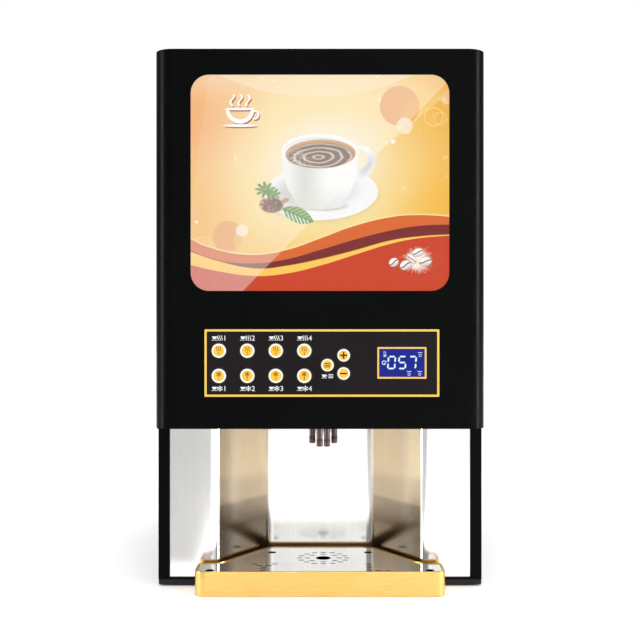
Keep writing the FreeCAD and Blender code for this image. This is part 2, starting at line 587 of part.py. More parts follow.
def main_board():
    """Power and control board on four stand-offs on the right side wall, with its larger parts."""
    wall = HALF - SHEET
    x1 = wall - 8
    board = box(x1 - BOARD_THICK, x1, 200, 390, 470, 610)
    posts = [rod(3.5, (x1 - 1, y, z), (wall, y, z)) for y in (210, 380) for z in (480, 600)]
    parts = [box(x1 - BOARD_THICK - h, x1 - 1, y, y + d, z, z + w)
             for y, z, d, w, h in ((220, 490, 44, 36, 28), (280, 490, 30, 30, 22), (330, 485, 40, 18, 14),
                                   (220, 550, 24, 24, 4), (260, 560, 60, 14, 10), (340, 540, 30, 50, 18))]
    return board.fuse(posts + parts)


def power_inlet():
    y = REAR_Y
    flange = box(INLET_X - 19, INLET_X + 19, y, y + 2, INLET_Z - 15, ROCKER_Z + 17)
    flange = flange.makeFillet(3.0, [e for e in flange.Edges if e.BoundBox.YLength > 1])
    body = box(INLET_X - INLET_W / 2 + 0.3, INLET_X + INLET_W / 2 - 0.3, y - 22, y + 1,
               INLET_Z - INLET_H / 2 + 0.3, INLET_Z + INLET_H / 2 - 0.3)
    cup = box(INLET_X - 11.5, INLET_X + 11.5, y - 17, y + 9, INLET_Z - 8, INLET_Z + 8)
    pins = [box(px - 1, px + 1, y - 18, y - 4, INLET_Z + pz - 2, INLET_Z + pz + 2)
            for px, pz in ((INLET_X - 7, -2), (INLET_X, 2), (INLET_X + 7, -2))]
    cell = box(INLET_X - ROCKER_W / 2 - 1.6, INLET_X + ROCKER_W / 2 + 1.6, y - 18, y + 1,
               ROCKER_Z - ROCKER_H / 2 - 1.6, ROCKER_Z + ROCKER_H / 2 + 1.6)
    well = box(INLET_X - ROCKER_W / 2 - 0.4, INLET_X + ROCKER_W / 2 + 0.4, y - 15, y + 9,
               ROCKER_Z - ROCKER_H / 2 - 0.4, ROCKER_Z + ROCKER_H / 2 + 0.4)
    reach = ROCKER_W / 2 + ROCKER_PIN_REACH + 0.1
    seat = rod(ROCKER_PIN_R + 0.1, (INLET_X - reach, y, ROCKER_Z), (INLET_X + reach, y, ROCKER_Z))
    return flange.fuse([body, cell]).cut([cup, well, seat]).fuse(pins)


def rocker_switch():
    """Shallow wedge with a raised end, on a round pin along X that turns in the well's sides."""
    half_w, half_h = ROCKER_W / 2, ROCKER_H / 2 - 0.8
    side = [(-3, -half_h), (2.2, -half_h), (0.8, 0), (3.2, half_h), (-3, half_h), (-3, -half_h)]
    outline = Part.makePolygon([V(INLET_X - half_w, REAR_Y + y, ROCKER_Z + z) for y, z in side])
    wedge = Part.Face(outline).extrude(V(2 * half_w, 0, 0))
    reach = half_w + ROCKER_PIN_REACH
    pin = rod(ROCKER_PIN_R, (INLET_X - reach, REAR_Y, ROCKER_Z), (INLET_X + reach, REAR_Y, ROCKER_Z))
    return wedge.fuse(pin)


def water_inlet():
    y = REAR_Y
    neck = rod(WATER_R - 0.2, (WATER_X, y - 14, WATER_Z), (WATER_X, y, WATER_Z))
    flange = rod(WATER_R + 4, (WATER_X, y, WATER_Z), (WATER_X, y + 1.5, WATER_Z))
    hose_end = rod(WATER_BORE + 1.5, (WATER_X, y, WATER_Z), (WATER_X, DEPTH - 0.5, WATER_Z))
    bore = rod(WATER_BORE - 2, (WATER_X, y - 15, WATER_Z), (WATER_X, y + 30, WATER_Z))
    return neck.fuse([flange, hose_end]).cut(bore)


# ---- Door ----------------------------------------------------------------------------------------
def door_plan(inset):
    half, back = HALF - inset, DOOR_BACK + (1 if inset else 0)
    front = DOOR_FRONT + inset
    points = [(-half, back), (-half, front), (half, front), (half, back)]
    radius = DOOR_CORNER_R - inset
    return rounded_outline(points, [0, radius, radius, 0], 0)


def button_spots():
    """{name: (x, z, radius)} of every push button."""
    spots = {}
    for i in range(DRINK_COUNT):
        x = DRINK_X0 + i * DRINK_PITCH
        spots[f"button_hot_{i + 1}"] = (x, HOT_Z, DRINK_R)
        spots[f"button_cold_{i + 1}"] = (x, COLD_Z, DRINK_R)
    spots["button_menu"] = (MENU_X, MENU_Z, SMALL_R)
    spots["button_plus"] = (PLUS_X, PLUS_Z, SMALL_R)
    spots["button_minus"] = (PLUS_X, MINUS_Z, SMALL_R)
    return spots


def button_holes(y0, y1):
    return [rod(r + BUTTON_FIT, (x, y0, z), (x, y1, z)) for x, z, r in button_spots().values()]


def lcd_hole(y0, y1):
    return box(LCD_X - LCD_W / 2, LCD_X + LCD_W / 2, y0, y1, LCD_Z - LCD_H / 2, LCD_Z + LCD_H / 2)


def door_shell():
    outer = prism(door_plan(0), DOOR_TOP - DOOR_BOTTOM)
    outer.translate(V(0, 0, DOOR_BOTTOM))
    inner = prism(door_plan(SHEET), DOOR_TOP - DOOR_BOTTOM - 2 * SHEET)
    inner.translate(V(0, 0, DOOR_BOTTOM + SHEET))
    window = rounded_plate(WINDOW_W, WINDOW_H, WINDOW_R, 0, WINDOW_Z, DOOR_FRONT - 5, DOOR_SKIN + 5)
    cuts = [inner, window, lcd_hole(DOOR_FRONT - 5, DOOR_SKIN + 5)]
    cuts += button_holes(DOOR_FRONT - 5, DOOR_SKIN + 5)
    for z in (DOOR_BOTTOM, DOOR_TOP):
        cuts.append(rod(HINGE_PIN_R + 0.05, (HINGE_X, HINGE_Y, z - 5), (HINGE_X, HINGE_Y, z + 5)))
    return outer.cut(cuts)


def hinge_brackets():
    """Upper and lower bracket with its pin, screwed to the cabinet's front return."""
    brackets = []
    for z, up in ((DOOR_TOP + BRACKET_GAP, -1), (DOOR_BOTTOM - BRACKET_GAP - BRACKET_THICK, 1)):
        plate = box(-HALF + 0.5, HINGE_X + 6, HINGE_Y - 5, 0, z, z + BRACKET_THICK)
        middle = z + BRACKET_THICK / 2
        pin = rod(HINGE_PIN_R, (HINGE_X, HINGE_Y, middle), (HINGE_X, HINGE_Y, middle + up * 7))
        bracket = plate.fuse(pin)
        if up == 1:
            bracket = bracket.fuse(box(-HALF + 0.5, HINGE_X + 6, -1.2, 0, z - 10, z + BRACKET_THICK))
        brackets.append(bracket)
    return brackets


def graphic_window():
    fit, lip = -WINDOW_FIT, ACRYLIC_LIP
    boss = rounded_plate(WINDOW_W + 2 * fit, WINDOW_H + 2 * fit, WINDOW_R + fit, 0, WINDOW_Z,
                         DOOR_FRONT + 0.2, DOOR_SKIN)
    flange = rounded_plate(WINDOW_W + 2 * lip, WINDOW_H + 2 * lip, WINDOW_R + lip, 0, WINDOW_Z,
                           DOOR_SKIN, DOOR_SKIN + ACRYLIC_THICK)
    return boss.fuse(flange)


def graphic_print():
    y = DOOR_SKIN + ACRYLIC_THICK
    return rounded_plate(WINDOW_W + 10, WINDOW_H + 10, WINDOW_R + 4, 0, WINDOW_Z, y, y + PRINT_THICK)


def light_box():
    y0 = DOOR_SKIN + ACRYLIC_THICK + PRINT_THICK
    w, h = WINDOW_W + 2 * ACRYLIC_LIP, WINDOW_H + 2 * ACRYLIC_LIP
    case = rounded_plate(w, h, 8.0, 0, WINDOW_Z, y0, y0 + LIGHT_BOX_DEPTH)
    wall = LIGHT_BOX_WALL
    room = rounded_plate(w - 2 * wall, h - 2 * wall, 6.5, 0, WINDOW_Z, y0 - 1, y0 + LIGHT_BOX_DEPTH - wall)
    return case.cut(room)


def led_bars():
    """Rows of lamps on the light box's rear wall."""
    y1 = DOOR_SKIN + ACRYLIC_THICK + PRINT_THICK + LIGHT_BOX_DEPTH - LIGHT_BOX_WALL
    bars = []
    for i in range(LED_BARS):
        z = WINDOW_Z + (i - (LED_BARS - 1) / 2) * WINDOW_H / LED_BARS
        strip = box(-WINDOW_W / 2 + 10, WINDOW_W / 2 - 10, y1 - 1.6, y1, z - 5, z + 5)
        chips = [box(x - 2.5, x + 2.5, y1 - 3, y1 - 1, z - 2.5, z + 2.5) for x in range(-130, 131, 26)]
        bars.append(strip.fuse(chips))
    return bars


def control_panel():
    plate = rounded_plate(PANEL_W, PANEL_H, 1.0, PANEL_X, PANEL_Z, DOOR_FRONT - OVERLAY_THICK, DOOR_FRONT)
    y0, y1 = DOOR_FRONT - 5, DOOR_FRONT + 5
    return plate.cut(button_holes(y0, y1) + [lcd_hole(y0, y1)])


def panel_trim():
    y = DOOR_FRONT - OVERLAY_THICK
    line = rounded_plate(PANEL_W, PANEL_H, 1.0, PANEL_X, PANEL_Z, y - TRIM_THICK, y)
    w, h = PANEL_W - 2 * TRIM_WIDTH, PANEL_H - 2 * TRIM_WIDTH
    return line.cut(rounded_plate(w, h, 0.5, PANEL_X, PANEL_Z, y - 5, y + 5))


def lcd_bezel():
    y = DOOR_FRONT - OVERLAY_THICK
    w, h = LCD_W - 2 * LCD_GAP, LCD_H - 2 * LCD_GAP
    outer = rounded_plate(w, h, 0.8, LCD_X, LCD_Z, y - LCD_PROUD, DOOR_SKIN)
    w, h = w - 2 * LCD_FRAME, h - 2 * LCD_FRAME
    return outer.cut(rounded_plate(w, h, 0.5, LCD_X, LCD_Z, y - 5, DOOR_SKIN + 5))


def lcd_module():
    """Display glass in its frame, and the block behind it down to the control board."""
    edge = 2 * (LCD_GAP + LCD_FRAME + LCD_GAP)
    w, h = LCD_W - edge, LCD_H - edge
    glass = rounded_plate(w, h, 0.4, LCD_X, LCD_Z, DOOR_FRONT - OVERLAY_THICK + LCD_SINK, DOOR_SKIN)
    block = box(LCD_X - LCD_W / 2 - 3, LCD_X + LCD_W / 2 + 3, DOOR_SKIN, DOOR_SKIN + BOARD_BACK,
                LCD_Z - LCD_H / 2 - 3, LCD_Z + LCD_H / 2 + 3)
    return glass.fuse(block)


def control_board():
    """Board behind the buttons: one switch under each, and four posts to the door's sheet."""
    y = DOOR_SKIN + BOARD_BACK
    board = box(PANEL_X - PANEL_W / 2 + 4, PANEL_X + PANEL_W / 2 - 4, y, y + BOARD_THICK,
                PANEL_Z - PANEL_H / 2 + 4, PANEL_Z + PANEL_H / 2 - 4)
    half = SWITCH_SIDE / 2
    fittings = []
    for x, z, _ in button_spots().values():
        fittings.append(box(x - half, x + half, y - SWITCH_HEIGHT, y + 0.1, z - half, z + half))
    for side in (-1, 1):
        for level in (-1, 1):
            x, z = PANEL_X + side * (PANEL_W / 2 - 8), PANEL_Z + level * (PANEL_H / 2 - 8)
            fittings.append(rod(3.0, (x, DOOR_SKIN, z), (x, y + 0.1, z)))
    return board.fuse(fittings)


def button(x, z, radius):
    """Cap through the overlay, a lip behind the door's sheet and a stem to the switch."""
    front = DOOR_FRONT - OVERLAY_THICK - BUTTON_PROUD
    cap = rod(radius, (x, front, z), (x, DOOR_SKIN + BUTTON_LIP_THICK + 0.5, z))
    cap = cap.makeFillet(0.5, [e for e in cap.Edges if e.BoundBox.YMax < front + 0.1])
    lip = rod(radius + BUTTON_LIP, (x, DOOR_SKIN + 0.3, z), (x, DOOR_SKIN + 0.3 + BUTTON_LIP_THICK, z))
    stem_end = DOOR_SKIN + BOARD_BACK - SWITCH_HEIGHT - BUTTON_TRAVEL - 0.2
    stem = rod(STEM_R, (x, front + 1, z), (x, stem_end, z))
    return cap.fuse([lip, stem])


def door_liner():
    """Flat cover over the back of the door, inside its walls, with room for the hinge pins."""
    edge = SHEET + COVER_FIT
    cover = box(-HALF + edge, HALF - edge, DOOR_BACK - SHEET, DOOR_BACK, DOOR_BOTTOM + edge, DOOR_TOP - edge)
    for z in (DOOR_BOTTOM, DOOR_TOP):
        cover = cover.cut(box(-HALF, HINGE_X + 6, DOOR_BACK - 5, DOOR_BACK + 5, z - 12, z + 12))
    return cover


def lock_barrel():
    """Flush cam lock in the right side wall; its cam points down when open and turns to the front."""
    inner = HALF - SHEET
    barrel = rod(LOCK_R - 0.1, (inner - 16, LOCK_Y, LOCK_Z), (HALF, LOCK_Y, LOCK_Z))
    key_slot = box(HALF - 4, HALF + 1, LOCK_Y - 0.8, LOCK_Y + 0.8, LOCK_Z - 4, LOCK_Z + 4)
    cam = box(inner - 18, inner - 16, LOCK_Y - 7, LOCK_Y + 7, LOCK_Z - 24, LOCK_Z + 7)
    return barrel.cut(key_slot).fuse(cam)


# ---- Drip tray -----------------------------------------------------------------------------------
def tray_outline(inset, z):
    """Plan of the tray: a wide front and a tongue that follows the bay's slanted walls."""
    on_slant = bay_slant(TRAY_SIDE_GAP)
    slant = V(on_slant(TRAY_BACK) - on_slant(TRAY_WING_BACK), TRAY_BACK - TRAY_WING_BACK).normalize()
    half, front = TRAY_W / 2 - inset, TRAY_FRONT + inset
    wing, back = TRAY_WING_BACK - inset, TRAY_BACK - inset
    def on_edge(y):
        return on_slant(y) + inset / slant.y
    points = [(-half, front), (-half, wing), (on_edge(wing), wing), (on_edge(back), back)]
    radii = [14.0 - inset, 5.0 - min(inset, 4.0), 26.0 + inset, 22.0 - inset]
    return rounded_outline(mirror_points(points), radii + radii[::-1], z)


def tray_band():
    top = TRAY_HEIGHT
    tongue_z = BASE_TOP + TRAY_OVER_BASE
    outer = prism(tray_outline(0, TRAY_GROUND), top - TRAY_GROUND)
    outer = outer.makeFillet(1.0, [e for e in outer.Edges if e.BoundBox.ZMin > top - 0.1])
    inner = prism(tray_outline(BAND_WALL, TRAY_GROUND - 1), top + 9)
    under_tongue = box(-WIDTH, WIDTH, TRAY_WING_BACK + 4, TRAY_BACK + 9, -9, tongue_z)
    return outer.cut([inner, under_tongue])


def tray_pan():
    tongue_z = BASE_TOP + TRAY_OVER_BASE
    rim_z = TRAY_HEIGHT - GRID_SINK - GRID_THICK
    outside = BAND_WALL + PAN_FIT
    pan = prism(tray_outline(outside, tongue_z), rim_z - tongue_z)
    pan = pan.cut(prism(tray_outline(outside + PAN_WALL, tongue_z + PAN_FLOOR), TRAY_HEIGHT))
    y = TRAY_FRONT + 20
    for x in (-TRAY_W / 2 + LUG_INSET, TRAY_W / 2 - LUG_INSET):
        pan = pan.fuse(rod(3.0, (x, y, TRAY_GROUND), (x, y, tongue_z + 1)))
    return pan


def slot(x, y, turn):
    half, side = SLOT_LENGTH / 2, SLOT_WIDTH / 2
    piece = box(-half, half, -side, side, TRAY_HEIGHT - 9, TRAY_HEIGHT + 9)
    piece.rotate(V(0, 0, 0), V(0, 0, 1), turn)
    piece.translate(V(x, y, 0))
    return piece


def drip_grid():
    z = TRAY_HEIGHT - GRID_SINK - GRID_THICK
    plate = prism(tray_outline(BAND_WALL + GRID_FIT, z), GRID_THICK)
    holes = [rod(DRAIN_HOLE_R, (DRAIN_X, DRAIN_Y, z - 5), (DRAIN_X, DRAIN_Y, z + 9))]
    for radius, count in zip(RING_RADII, RING_COUNTS):
        for i in range(count):
            a = math.radians(i * 360 / count)
            holes.append(slot(DRAIN_X + radius * math.cos(a), DRAIN_Y + radius * math.sin(a), 0))
    front_x, front_y, back_y = TRAY_W / 2 - 18, TRAY_FRONT + 11, TRAY_BACK - 31
    for x, y in ((-front_x, front_y), (front_x, front_y), (-BACK_HOLE_X, back_y), (BACK_HOLE_X, back_y)):
        holes.append(rod(CORNER_HOLE_R, (x, y, z - 5), (x, y, z + 9)))
    for x, back in LEFT_SLOTS + RIGHT_SLOTS:
        holes.append(slot(x, TRAY_FRONT + back, 0))
    return plate.cut(holes)


def build():
    put("cabinet_shell", cabinet_shell())
    put("base_plate", base_plate())
    put("rubber_feet", *rubber_feet())
    put("rear_panel", rear_panel())
    put("panel_screws", *panel_screws())
    put("niche_liner", niche_liner())
    put("nozzle_plate", nozzle_plate())
    put("nozzle_holder", nozzle_holder())
    put("product_tubes", *product_tubes())
    put("mixing_bowls", *[mixing_bowl(x) for x in CANISTER_X])
    put("bulkhead", bulkhead())
    put("canister_shelf", canister_shelf())
    for i, x in enumerate(CANISTER_X, 1):
        put(f"canister_{i}", canister(x))
        put(f"canister_lid_{i}", canister_lid(x))
        put(f"auger_{i}", auger(x))
    put("auger_motors", *[auger_motor(x) for x in CANISTER_X])
    put("hot_water_tank", tank(-TANK_X))
    put("cold_water_tank", tank(TANK_X))
    put("solenoid_valves", *solenoid_valves())
    put("compressor", compressor())
    put("condenser", condenser(), fan_frame())
    put("fan_rotor", fan_rotor())
    put("main_board", main_board())
    put("power_inlet", power_inlet())
    put("rocker_switch", rocker_switch())
    put("water_inlet", water_inlet())
    put("door_shell", door_shell())
    put("door_liner", door_liner())
    put("hinge_brackets", *hinge_brackets())
    put("graphic_window", graphic_window())
    put("graphic_print", graphic_print())
    put("light_box", light_box(), *led_bars())
    put("control_panel", control_panel())
    put("gold_trim", panel_trim(), lcd_bezel())
    put("lcd_module", lcd_module())
    put("control_board", control_board())
    for name, (x, z, radius) in button_spots().items():
        put(name, button(x, z, radius))
    put("lock_barrel", lock_barrel())
    put("tray_band", tray_band())
    put("tray_pan", tray_pan())
    put("drip_grid", drip_grid())
    print(len(made), "nodes,", sum(made.values()), "solids")


build()
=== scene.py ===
# Table-top coffee vending machine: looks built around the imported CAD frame. Metres, +X right, +Y back, +Z up.
import math
import random

import bmesh
import bpy
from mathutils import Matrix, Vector


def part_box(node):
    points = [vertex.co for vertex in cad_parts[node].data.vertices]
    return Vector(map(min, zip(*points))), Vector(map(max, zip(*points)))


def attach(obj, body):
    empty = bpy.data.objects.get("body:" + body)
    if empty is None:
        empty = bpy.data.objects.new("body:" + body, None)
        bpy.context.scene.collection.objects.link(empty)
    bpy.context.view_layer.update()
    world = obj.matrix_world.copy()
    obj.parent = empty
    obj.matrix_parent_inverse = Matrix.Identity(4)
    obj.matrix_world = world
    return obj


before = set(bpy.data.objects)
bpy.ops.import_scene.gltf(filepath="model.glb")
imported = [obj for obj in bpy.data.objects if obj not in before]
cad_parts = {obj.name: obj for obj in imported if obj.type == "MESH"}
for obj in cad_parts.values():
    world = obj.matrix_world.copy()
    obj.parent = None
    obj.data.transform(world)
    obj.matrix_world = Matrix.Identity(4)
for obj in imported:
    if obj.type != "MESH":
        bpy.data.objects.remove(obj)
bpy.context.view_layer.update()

scene = bpy.context.scene
MM = 0.001
SEED = 7


# ---- Colours and node helpers ----------------------------------------------------------------------
def srgb(r, g, b):
    """Linear colour of an 8-bit display colour."""
    def linear(c):
        c = c / 255
        return c / 12.92 if c <= 0.04045 else ((c + 0.055) / 1.055) ** 2.4
    return (linear(r), linear(g), linear(b), 1.0)


class Shade:
    """One material and short ways to add nodes to it."""

    def __init__(self, name):
        self.material = bpy.data.materials.new(name)
        self.material.use_nodes = True
        self.tree = self.material.node_tree
        self.bsdf = self.tree.nodes["Principled BSDF"]
        self.place = self.node("ShaderNodeTexCoord").outputs["Object"]

    def node(self, kind, **settings):
        made = self.tree.nodes.new(kind)
        for key, value in settings.items():
            setattr(made, key, value)
        return made

    def feed(self, socket, value):
        """Links a socket, or sets a constant on it."""
        if isinstance(value, bpy.types.NodeSocket):
            self.tree.links.new(value, socket)
        else:
            socket.default_value = value

    def set(self, **values):
        for key, value in values.items():
            self.feed(self.bsdf.inputs[key.replace("_", " ")], value)
        return self

    def mapped(self, place=(0, 0, 0), turn=(0, 0, 0), size=(1, 1, 1), kind="POINT", source=None):
        made = self.node("ShaderNodeMapping", vector_type=kind)
        self.feed(made.inputs["Vector"], source or self.place)
        made.inputs["Location"].default_value = place
        made.inputs["Rotation"].default_value = turn
        made.inputs["Scale"].default_value = size
        return made.outputs["Vector"]

    def noise(self, scale, detail=2.0, rough=0.5, stretch=(1, 1, 1), distort=0.0, source=None):
        made = self.node("ShaderNodeTexNoise")
        self.feed(made.inputs["Vector"], self.mapped(size=stretch, source=source))
        made.inputs["Scale"].default_value = scale
        made.inputs["Detail"].default_value = detail
        made.inputs["Roughness"].default_value = rough
        made.inputs["Distortion"].default_value = distort
        return made.outputs["Fac"]

    def span(self, value, low, high, to_low=0.0, to_high=1.0, smooth=False):
        made = self.node("ShaderNodeMapRange")
        if smooth:
            made.interpolation_type = "SMOOTHSTEP"
        sockets = ("Value", "From Min", "From Max", "To Min", "To Max")
        for socket, v in zip(sockets, (value, low, high, to_low, to_high)):
            self.feed(made.inputs[socket], v)
        return made.outputs["Result"]

    def math(self, operation, a, b=0.0, c=0.0, clamp=False):
        made = self.node("ShaderNodeMath", operation=operation, use_clamp=clamp)
        for i, v in enumerate((a, b, c)):
            self.feed(made.inputs[i], v)
        return made.outputs[0]

    def vector(self, operation, a, b=(0, 0, 0)):
        made = self.node("ShaderNodeVectorMath", operation=operation)
        self.feed(made.inputs[0], a)
        self.feed(made.inputs[1], b)
        return made.outputs["Value" if operation in ("LENGTH", "DISTANCE", "DOT_PRODUCT") else "Vector"]

    def mix(self, factor, a, b):
        made = self.node("ShaderNodeMix", data_type="RGBA")
        self.feed(made.inputs["Factor"], factor)
        self.feed(made.inputs[6], a)
        self.feed(made.inputs[7], b)
        return made.outputs[2]

    def bump(self, height, strength, distance):
        made = self.node("ShaderNodeBump")
        made.inputs["Strength"].default_value = strength
        made.inputs["Distance"].default_value = distance
        self.feed(made.inputs["Height"], height)
        self.feed(self.bsdf.inputs["Normal"], made.outputs["Normal"])
        return self


# ---- Materials -------------------------------------------------------------------------------------
def coated(name, colour, lighter, rough=0.34, grain=0.05, coat=0.0, sheen=0.5):
    """Powder-coated or moulded surface: fine orange peel, slow colour drift, a little wear in the gloss."""
    s = Shade(name)
    drift = s.noise(9, 4, 0.6)
    s.set(Base_Color=s.mix(s.span(drift, 0.3, 0.75), srgb(*colour), srgb(*lighter)))
    s.set(Roughness=s.span(s.noise(40, 3), 0.3, 0.7, rough - 0.05, rough + 0.06), Coat_Weight=coat, Coat_Roughness=0.12,
          Specular_IOR_Level=sheen)
    return s.bump(s.noise(1500, 2), grain, 0.00012).material


def brushed(name, colour, darker, rough=0.22, along=(1, 1, 0.02), depth=0.03, scale=900, anisotropic=0.0):
    """Metal with a fine grain drawn out along one direction."""
    s = Shade(name)
    grain = s.noise(scale, 3, 0.6, stretch=along)
    blotch = s.noise(14, 4, 0.65)
    tone = s.mix(s.span(grain, 0.3, 0.7), srgb(*darker), srgb(*colour))
    s.set(Base_Color=s.mix(s.span(blotch, 0.35, 0.8, 0.0, 0.35), tone, srgb(*darker)), Metallic=1.0)
    s.set(Roughness=s.span(blotch, 0.3, 0.75, rough - 0.03, rough + 0.07), Anisotropic=anisotropic)
    return s.bump(grain, depth, 0.0001).material


def clear_film(name, tint, alpha, rough=0.08):
    s = Shade(name)
    s.set(Base_Color=srgb(*tint), Alpha=alpha)
    s.set(Roughness=s.span(s.noise(60, 3), 0.3, 0.7, rough, rough + 0.06))
    s.set(Specular_IOR_Level=0.25)
    return s.bump(s.noise(30, 2), 0.02, 0.0003).material


# Emission on a surface: a real backlight for the display; on the gold foil, gold button discs and printed labels it is
# a painted glow standing in for light
def glowing(name, colour, glow, base=None, sheen=0.3):
    s = Shade(name)
    tone = s.mix(s.span(s.noise(300, 2), 0.3, 0.7, 0.0, 0.12), srgb(*colour), srgb(*(base or colour)))
    dim = s.mix(glow, tone, srgb(0, 0, 0))
    s.set(Base_Color=dim, Emission_Color=tone, Emission_Strength=glow)
    s.set(Roughness=0.4, Specular_IOR_Level=sheen)
    s.material.cycles.emission_sampling = "NONE"
    return s.material


BLACK = coated("black powder coat", (3, 4, 4), (7, 8, 8), 0.3, 0.06, sheen=0.045)
GRAY = coated("gray base coat", (33, 33, 37), (43, 43, 47), 0.45, sheen=0.1)
ZINC = brushed("zinc sheet", (190, 192, 194), (150, 153, 156), 0.38, (1, 1, 1), 0.02, 60)
def bay_steel():
    """Brushed steel of the cup bay; the slanted walls carry a painted warm reflection of the room and painted shade
    darker near the foot.
    """
    s = Shade("bay steel")
    grain = s.noise(900, 3, 0.6, stretch=(1, 1, 0.015))
    blotch = s.noise(14, 4, 0.65)
    facing = s.node("ShaderNodeTexCoord").outputs["Normal"]
    across = s.node("ShaderNodeSeparateXYZ")
    s.feed(across.inputs[0], facing)
    height = s.node("ShaderNodeSeparateXYZ")
    s.feed(height.inputs[0], s.place)
    slanted = s.span(s.math("ABSOLUTE", across.outputs["X"]), 0.7, 0.83, smooth=True)
    # painted shade: low is 1 below about 94 mm, darkening the slanted walls towards the foot
    low = s.span(height.outputs["Z"], 0.1, 0.094, smooth=True)
    plain = s.mix(s.span(grain, 0.3, 0.7), srgb(236, 235, 233), srgb(247, 246, 244))
    # painted reflection: the warm beige film tone on the slanted walls stands in for the room they reflect
    film = s.mix(s.span(grain, 0.3, 0.7), srgb(226, 212, 188), srgb(236, 224, 203))
    film = s.mix(s.math("MULTIPLY", low, 0.8), film, srgb(188, 178, 166))
    tone = s.mix(slanted, plain, film)
    s.set(Base_Color=s.mix(s.span(blotch, 0.4, 0.85, 0.0, 0.3), tone, srgb(226, 223, 219)), Metallic=1.0)
    s.set(Roughness=s.span(blotch, 0.3, 0.75, 0.13, 0.19))
    return s.bump(grain, 0.04, 0.0001).material


WING = bay_steel()
MIRROR = brushed("grid steel", (235, 234, 232), (214, 212, 209), 0.07, (0.03, 1, 1), 0.015)
SATIN = brushed("satin steel", (205, 206, 207), (172, 173, 175), 0.28)
GOLD = brushed("gold anodised", (246, 204, 128), (236, 186, 98), 0.3, (0.05, 0.05, 1), 0.02, 1200)
# painted glow: the gold foil line is not lit, its emission stands in for light catching it
GOLD_LINE = glowing("gold foil", (235, 195, 85), 0.22, (250, 178, 60))
PANEL = coated("panel film", (26, 22, 23), (31, 27, 28), 0.42, 0.03, sheen=0.07)
BROWN = coated("nozzle plastic", (58, 28, 24), (84, 44, 38), 0.16, 0.02, 0.6)
RUBBER = coated("rubber", (22, 22, 23), (33, 33, 34), 0.7, 0.15)
DARK_PLASTIC = coated("dark plastic", (26, 27, 29), (38, 39, 41), 0.45, 0.1)
WHITE_PLASTIC = coated("white plastic", (232, 232, 228), (245, 245, 242), 0.4, 0.05)
RING_WHITE = coated("button white", (243, 243, 240), (255, 255, 255), 0.3, 0.02, 0.3)
# painted glow: the gold button discs' emission stands in for light on them
BUTTON_GOLD = glowing("button gold", (253, 192, 62), 0.2, (240, 165, 50))
INK = coated("black ink", (20, 18, 16), (32, 28, 24), 0.5, 0.02)
# painted glow: the printed white labels' emission stands in for light on them
LABEL_WHITE = glowing("label white", (245, 245, 245), 0.45)
CHROME = brushed("screw steel", (215, 216, 218), (180, 181, 184), 0.16, (1, 1, 1), 0.02, 80)
BRASS = brushed("brass", (196, 158, 84), (160, 124, 60), 0.3, (1, 1, 1), 0.03, 200)
ALUMINIUM = brushed("fin aluminium", (198, 200, 203), (160, 163, 168), 0.35, (1, 1, 0.05), 0.04)
BOARD = coated("board lacquer", (18, 74, 46), (26, 92, 58), 0.3, 0.05, 0.4)
CANISTER = clear_film("canister plastic", (226, 232, 236), 0.34, 0.2)
LCD_BLUE = glowing("display blue", (30, 38, 142), 0.85, (38, 46, 158), 0.1)
LCD_WHITE = glowing("display segment", (214, 244, 250), 1.0, (240, 250, 255))
# painted shade: brown tone for the shadowed groove round the tray's rim
TRAY_GROOVE_SHADE = coated("tray groove shade", (112, 72, 36), (132, 88, 46), 0.4, 0.02)
POWDER_COFFEE = coated("coffee powder", (82, 50, 32), (116, 76, 50), 0.9, 0.5)
POWDER_MILK = coated("milk powder", (236, 224, 196), (248, 240, 220), 0.9, 0.5)
POWDER_COCOA = coated("cocoa powder", (98, 56, 38), (134, 84, 60), 0.9, 0.5)
POWDER_TEA = coated("tea powder", (178, 128, 66), (208, 160, 96), 0.9, 0.5)
HOSE = coated("silicone hose", (205, 212, 214), (228, 233, 234), 0.3, 0.02, 0.3)


